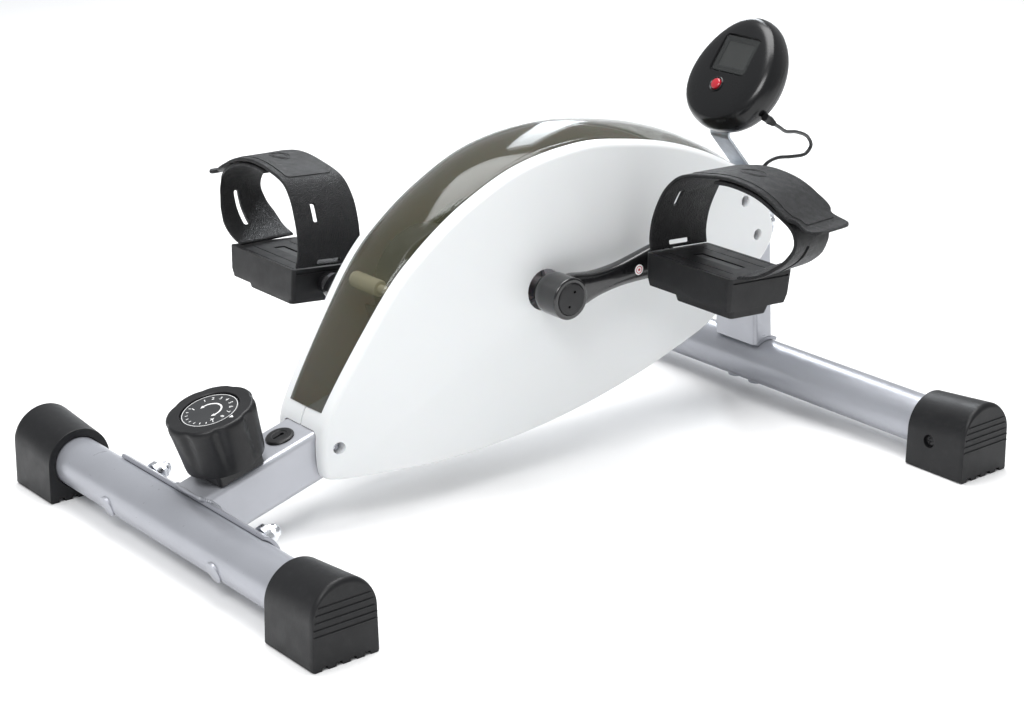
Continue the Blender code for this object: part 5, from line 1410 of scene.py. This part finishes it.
def make_bracket():
    """The saddle over the post's top, and the bent strip that the display slides onto."""
    top = post_point(POST_TOP_Z)
    crown = POST_TOP_Z + GAP
    wide = POST_HALF_WIDTH + GAP
    thick = 0.0018
    front = top.y - 0.0096
    back = top.y + 0.0125
    outside = rounded_section(wide + thick, 0.02, 0.0028)
    saddle = []
    for y in (front, back):
        upper = [(u, v + crown + thick - 0.02) for u, v in outside if v > 0]
        lower = [(u * wide / (wide + thick), v + crown + thick - 0.02 - thick) for u, v in outside if v > 0]
        low = 0.1420
        ring = [(wide + thick, low), *upper, (-wide - thick, low), (-wide, low), *lower[::-1], (wide, low)]
        saddle.append([(u, y, v) for u, v in ring])
    piece("bracket_saddle", loft(saddle), "bracket_zinc", ["display_bracket"], bevel=0.0005)
    up = Vector((0, sin(DISPLAY_TILT), cos(DISPLAY_TILT)))
    out = Vector((0, -cos(DISPLAY_TILT), sin(DISPLAY_TILT)))
    tongue = [DISPLAY + up * (-k) - out * 0.0243 for k in (0.0600, 0.0400)]
    path = [(0.2625, crown + 0.0012), (0.2620, 0.1960), (tongue[0].y, tongue[0].z),
            (tongue[1].y, tongue[1].z)]
    bends = []
    for k, point in enumerate(path):
        here = Vector(point)
        if k in (0, len(path) - 1):
            bends.append(here)
            continue
        before = (Vector(path[k - 1]) - here).normalized() * 0.0035
        after = (Vector(path[k + 1]) - here).normalized() * 0.0035
        for t in np.linspace(0, 1, 7):
            bends.append(here + before * (1 - t) ** 2 + after * t**2)
    middle = np.array([tuple(p) for p in bends])
    facing = normals_of(middle) * STRIP_THICKNESS / 2
    rings = []
    for m, n in zip(middle, facing):
        a, b = m + n, m - n
        rings.append([(STRIP_HALF_WIDTH, *a), (STRIP_HALF_WIDTH, *b), (-STRIP_HALF_WIDTH, *b),
                      (-STRIP_HALF_WIDTH, *a)])
    piece("bracket_strip", loft(rings), "bracket_zinc", (), bevel=0.0005, angle=60)


def make_cable():
    curve = bpy.data.curves.new("display_lead", "CURVE")
    curve.dimensions = "3D"
    curve.bevel_depth = CABLE_RADIUS
    curve.bevel_resolution = 6
    curve.use_fill_caps = True
    points = smooth(CABLE_ROUTE, 8)
    spline = curve.splines.new("POLY")
    spline.points.add(len(points) - 1)
    for point, place in zip(spline.points, points):
        point.co = (*place, 1.0)
    spline.use_smooth = True
    curve.materials.append(LOOKS["cable_jacket"])
    lead = bpy.data.objects.new("display_lead", curve)
    bpy.context.scene.collection.objects.link(lead)
    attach(lead, "frame")
    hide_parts("display_cable")
    length = float(sum(np.linalg.norm(b - a) for a, b in zip(points, points[1:])))
    return lead, length


def make_cable_ends():
    route = [Vector(p) for p in CABLE_ROUTE]
    start = route[0] + (route[0] - route[1]).normalized() * GAP
    back = (route[0] - route[1]).normalized() * 0.0125 + Vector((-0.0022, 0, 0.0015))
    profile = [(0, 0), (0.0019, 0), (0.0022, 0.0003)]
    for k in range(4):
        z = 0.0010 + 0.0018 * k
        wide = 0.0023 + 0.0003 * k
        profile += [(wide, z), (wide + 0.0003, z + 0.0003), (wide + 0.0003, z + 0.0010), (wide, z + 0.0013)]
    profile += [(0.0034, back.length), (0, back.length)]
    relief = piece("lead_relief", turned(profile, 48), "plain_black",
                   ["cable_strain_relief"], pointing(back, start))
    inward = (route[-1] - route[-2]).normalized()
    profile = [(0, GAP), (0.0038, GAP), (0.0045, GAP + 0.0004), (0.0055, 0.0026), (0.0053, 0.0030),
               (0, 0.0030)]
    grommet = piece("lead_grommet", turned(profile, 48), "plain_black",
                    ["cable_grommet"], pointing(inward, route[-1]))
    return relief, grommet


# Drive, seen through the smoked cover


def make_drive():
    keep(["bottom_bracket_shell"], "silver_tube")
    keep(["right_crank_bearing", "left_crank_bearing", "crank_axle", "flywheel_bracket", "flywheel_axle",
          "magnet_bracket", "brake_magnet"], "steel")
    keep(["crank_pulley", "flywheel_pulley", "speed_sensor"], "plain_black")
    keep(["drive_belt", "tension_cable"], "belt_rubber")
    rim = 0.0080
    wheel = [(0.0054, -0.0170), (0.0106, -0.0170), (0.0110, -0.0166), (0.0110, -0.0054), (0.0114, -0.0050),
             (FLYWHEEL_RADIUS - rim, -0.0050), (FLYWHEEL_RADIUS - rim, -FLYWHEEL_HALF + 0.0005),
             (FLYWHEEL_RADIUS - rim + 0.0005, -FLYWHEEL_HALF), (FLYWHEEL_RADIUS - 0.0006, -FLYWHEEL_HALF),
             (FLYWHEEL_RADIUS, -FLYWHEEL_HALF + 0.0006), (FLYWHEEL_RADIUS, FLYWHEEL_HALF - 0.0006),
             (FLYWHEEL_RADIUS - 0.0006, FLYWHEEL_HALF), (FLYWHEEL_RADIUS - rim + 0.0005, FLYWHEEL_HALF),
             (FLYWHEEL_RADIUS - rim, FLYWHEEL_HALF - 0.0005), (FLYWHEEL_RADIUS - rim, 0.0050),
             (0.0114, 0.0050), (0.0110, 0.0054), (0.0110, 0.0166), (0.0106, 0.0170), (0.0054, 0.0170)]
    holes = [rod((x, y, -0.02), (x, y, 0.02), 0.0052, 40) for x, y in arc((0, 0), 0.0235, 0, 2 * pi, 7)[:-1]]
    piece("flywheel_disc", turned(wheel, 128), "turned_steel", ["flywheel"],
          pointing((1, 0, 0), FLYWHEEL), cuts=holes, body="flywheel_set")


# Studio


def area_light(name, place, target, size, power, colour=(1.0, 1.0, 1.0)):
    data = bpy.data.lights.new(name, "AREA")
    data.shape = "RECTANGLE"
    data.size, data.size_y = size
    data.energy = power
    data.color = colour
    light = bpy.data.objects.new(name, data)
    bpy.context.scene.collection.objects.link(light)
    light.matrix_world = pointing(Vector(place) - Vector(target), place)
    return light


def make_studio():
    floor = bpy.data.objects.new("studio_floor", mesh_of("studio_floor",
                                                         block((-14, -14, -0.02), (14, 14, -0.0002))))
    bpy.context.scene.collection.objects.link(floor)
    floor.data.materials.append(LOOKS["studio_floor"])
    world = bpy.data.worlds.new("studio")
    world.use_nodes = True
    background = world.node_tree.nodes["Background"]
    background.inputs["Color"].default_value = (0.97, 0.985, 1.0, 1.0)
    background.inputs["Strength"].default_value = 0.50
    bpy.context.scene.world = world
    middle = (0, 0, 0.12)
    area_light("key_softbox", (0.9, -1.5, 2.0), middle, (1.3, 0.9), 36.0)
    area_light("top_softbox", (-0.2, 0.2, 2.1), middle, (1.6, 1.2), 44.0)
    area_light("rear_strip", (-1.3, 1.2, 1.3), middle, (0.3, 1.6), 14.0, (0.92, 0.96, 1.0))
    view = bpy.context.scene.view_settings
    view.view_transform = "Standard"
    view.look = "None"
    view.exposure = 0.0
    view.gamma = 1.0


def main():
    make_camera()
    make_looks()
    lead, lead_length = make_cable()
    make_frame()
    make_knob()
    make_shell()
    make_drive()
    make_cranks()
    make_display()
    make_studio()


main()
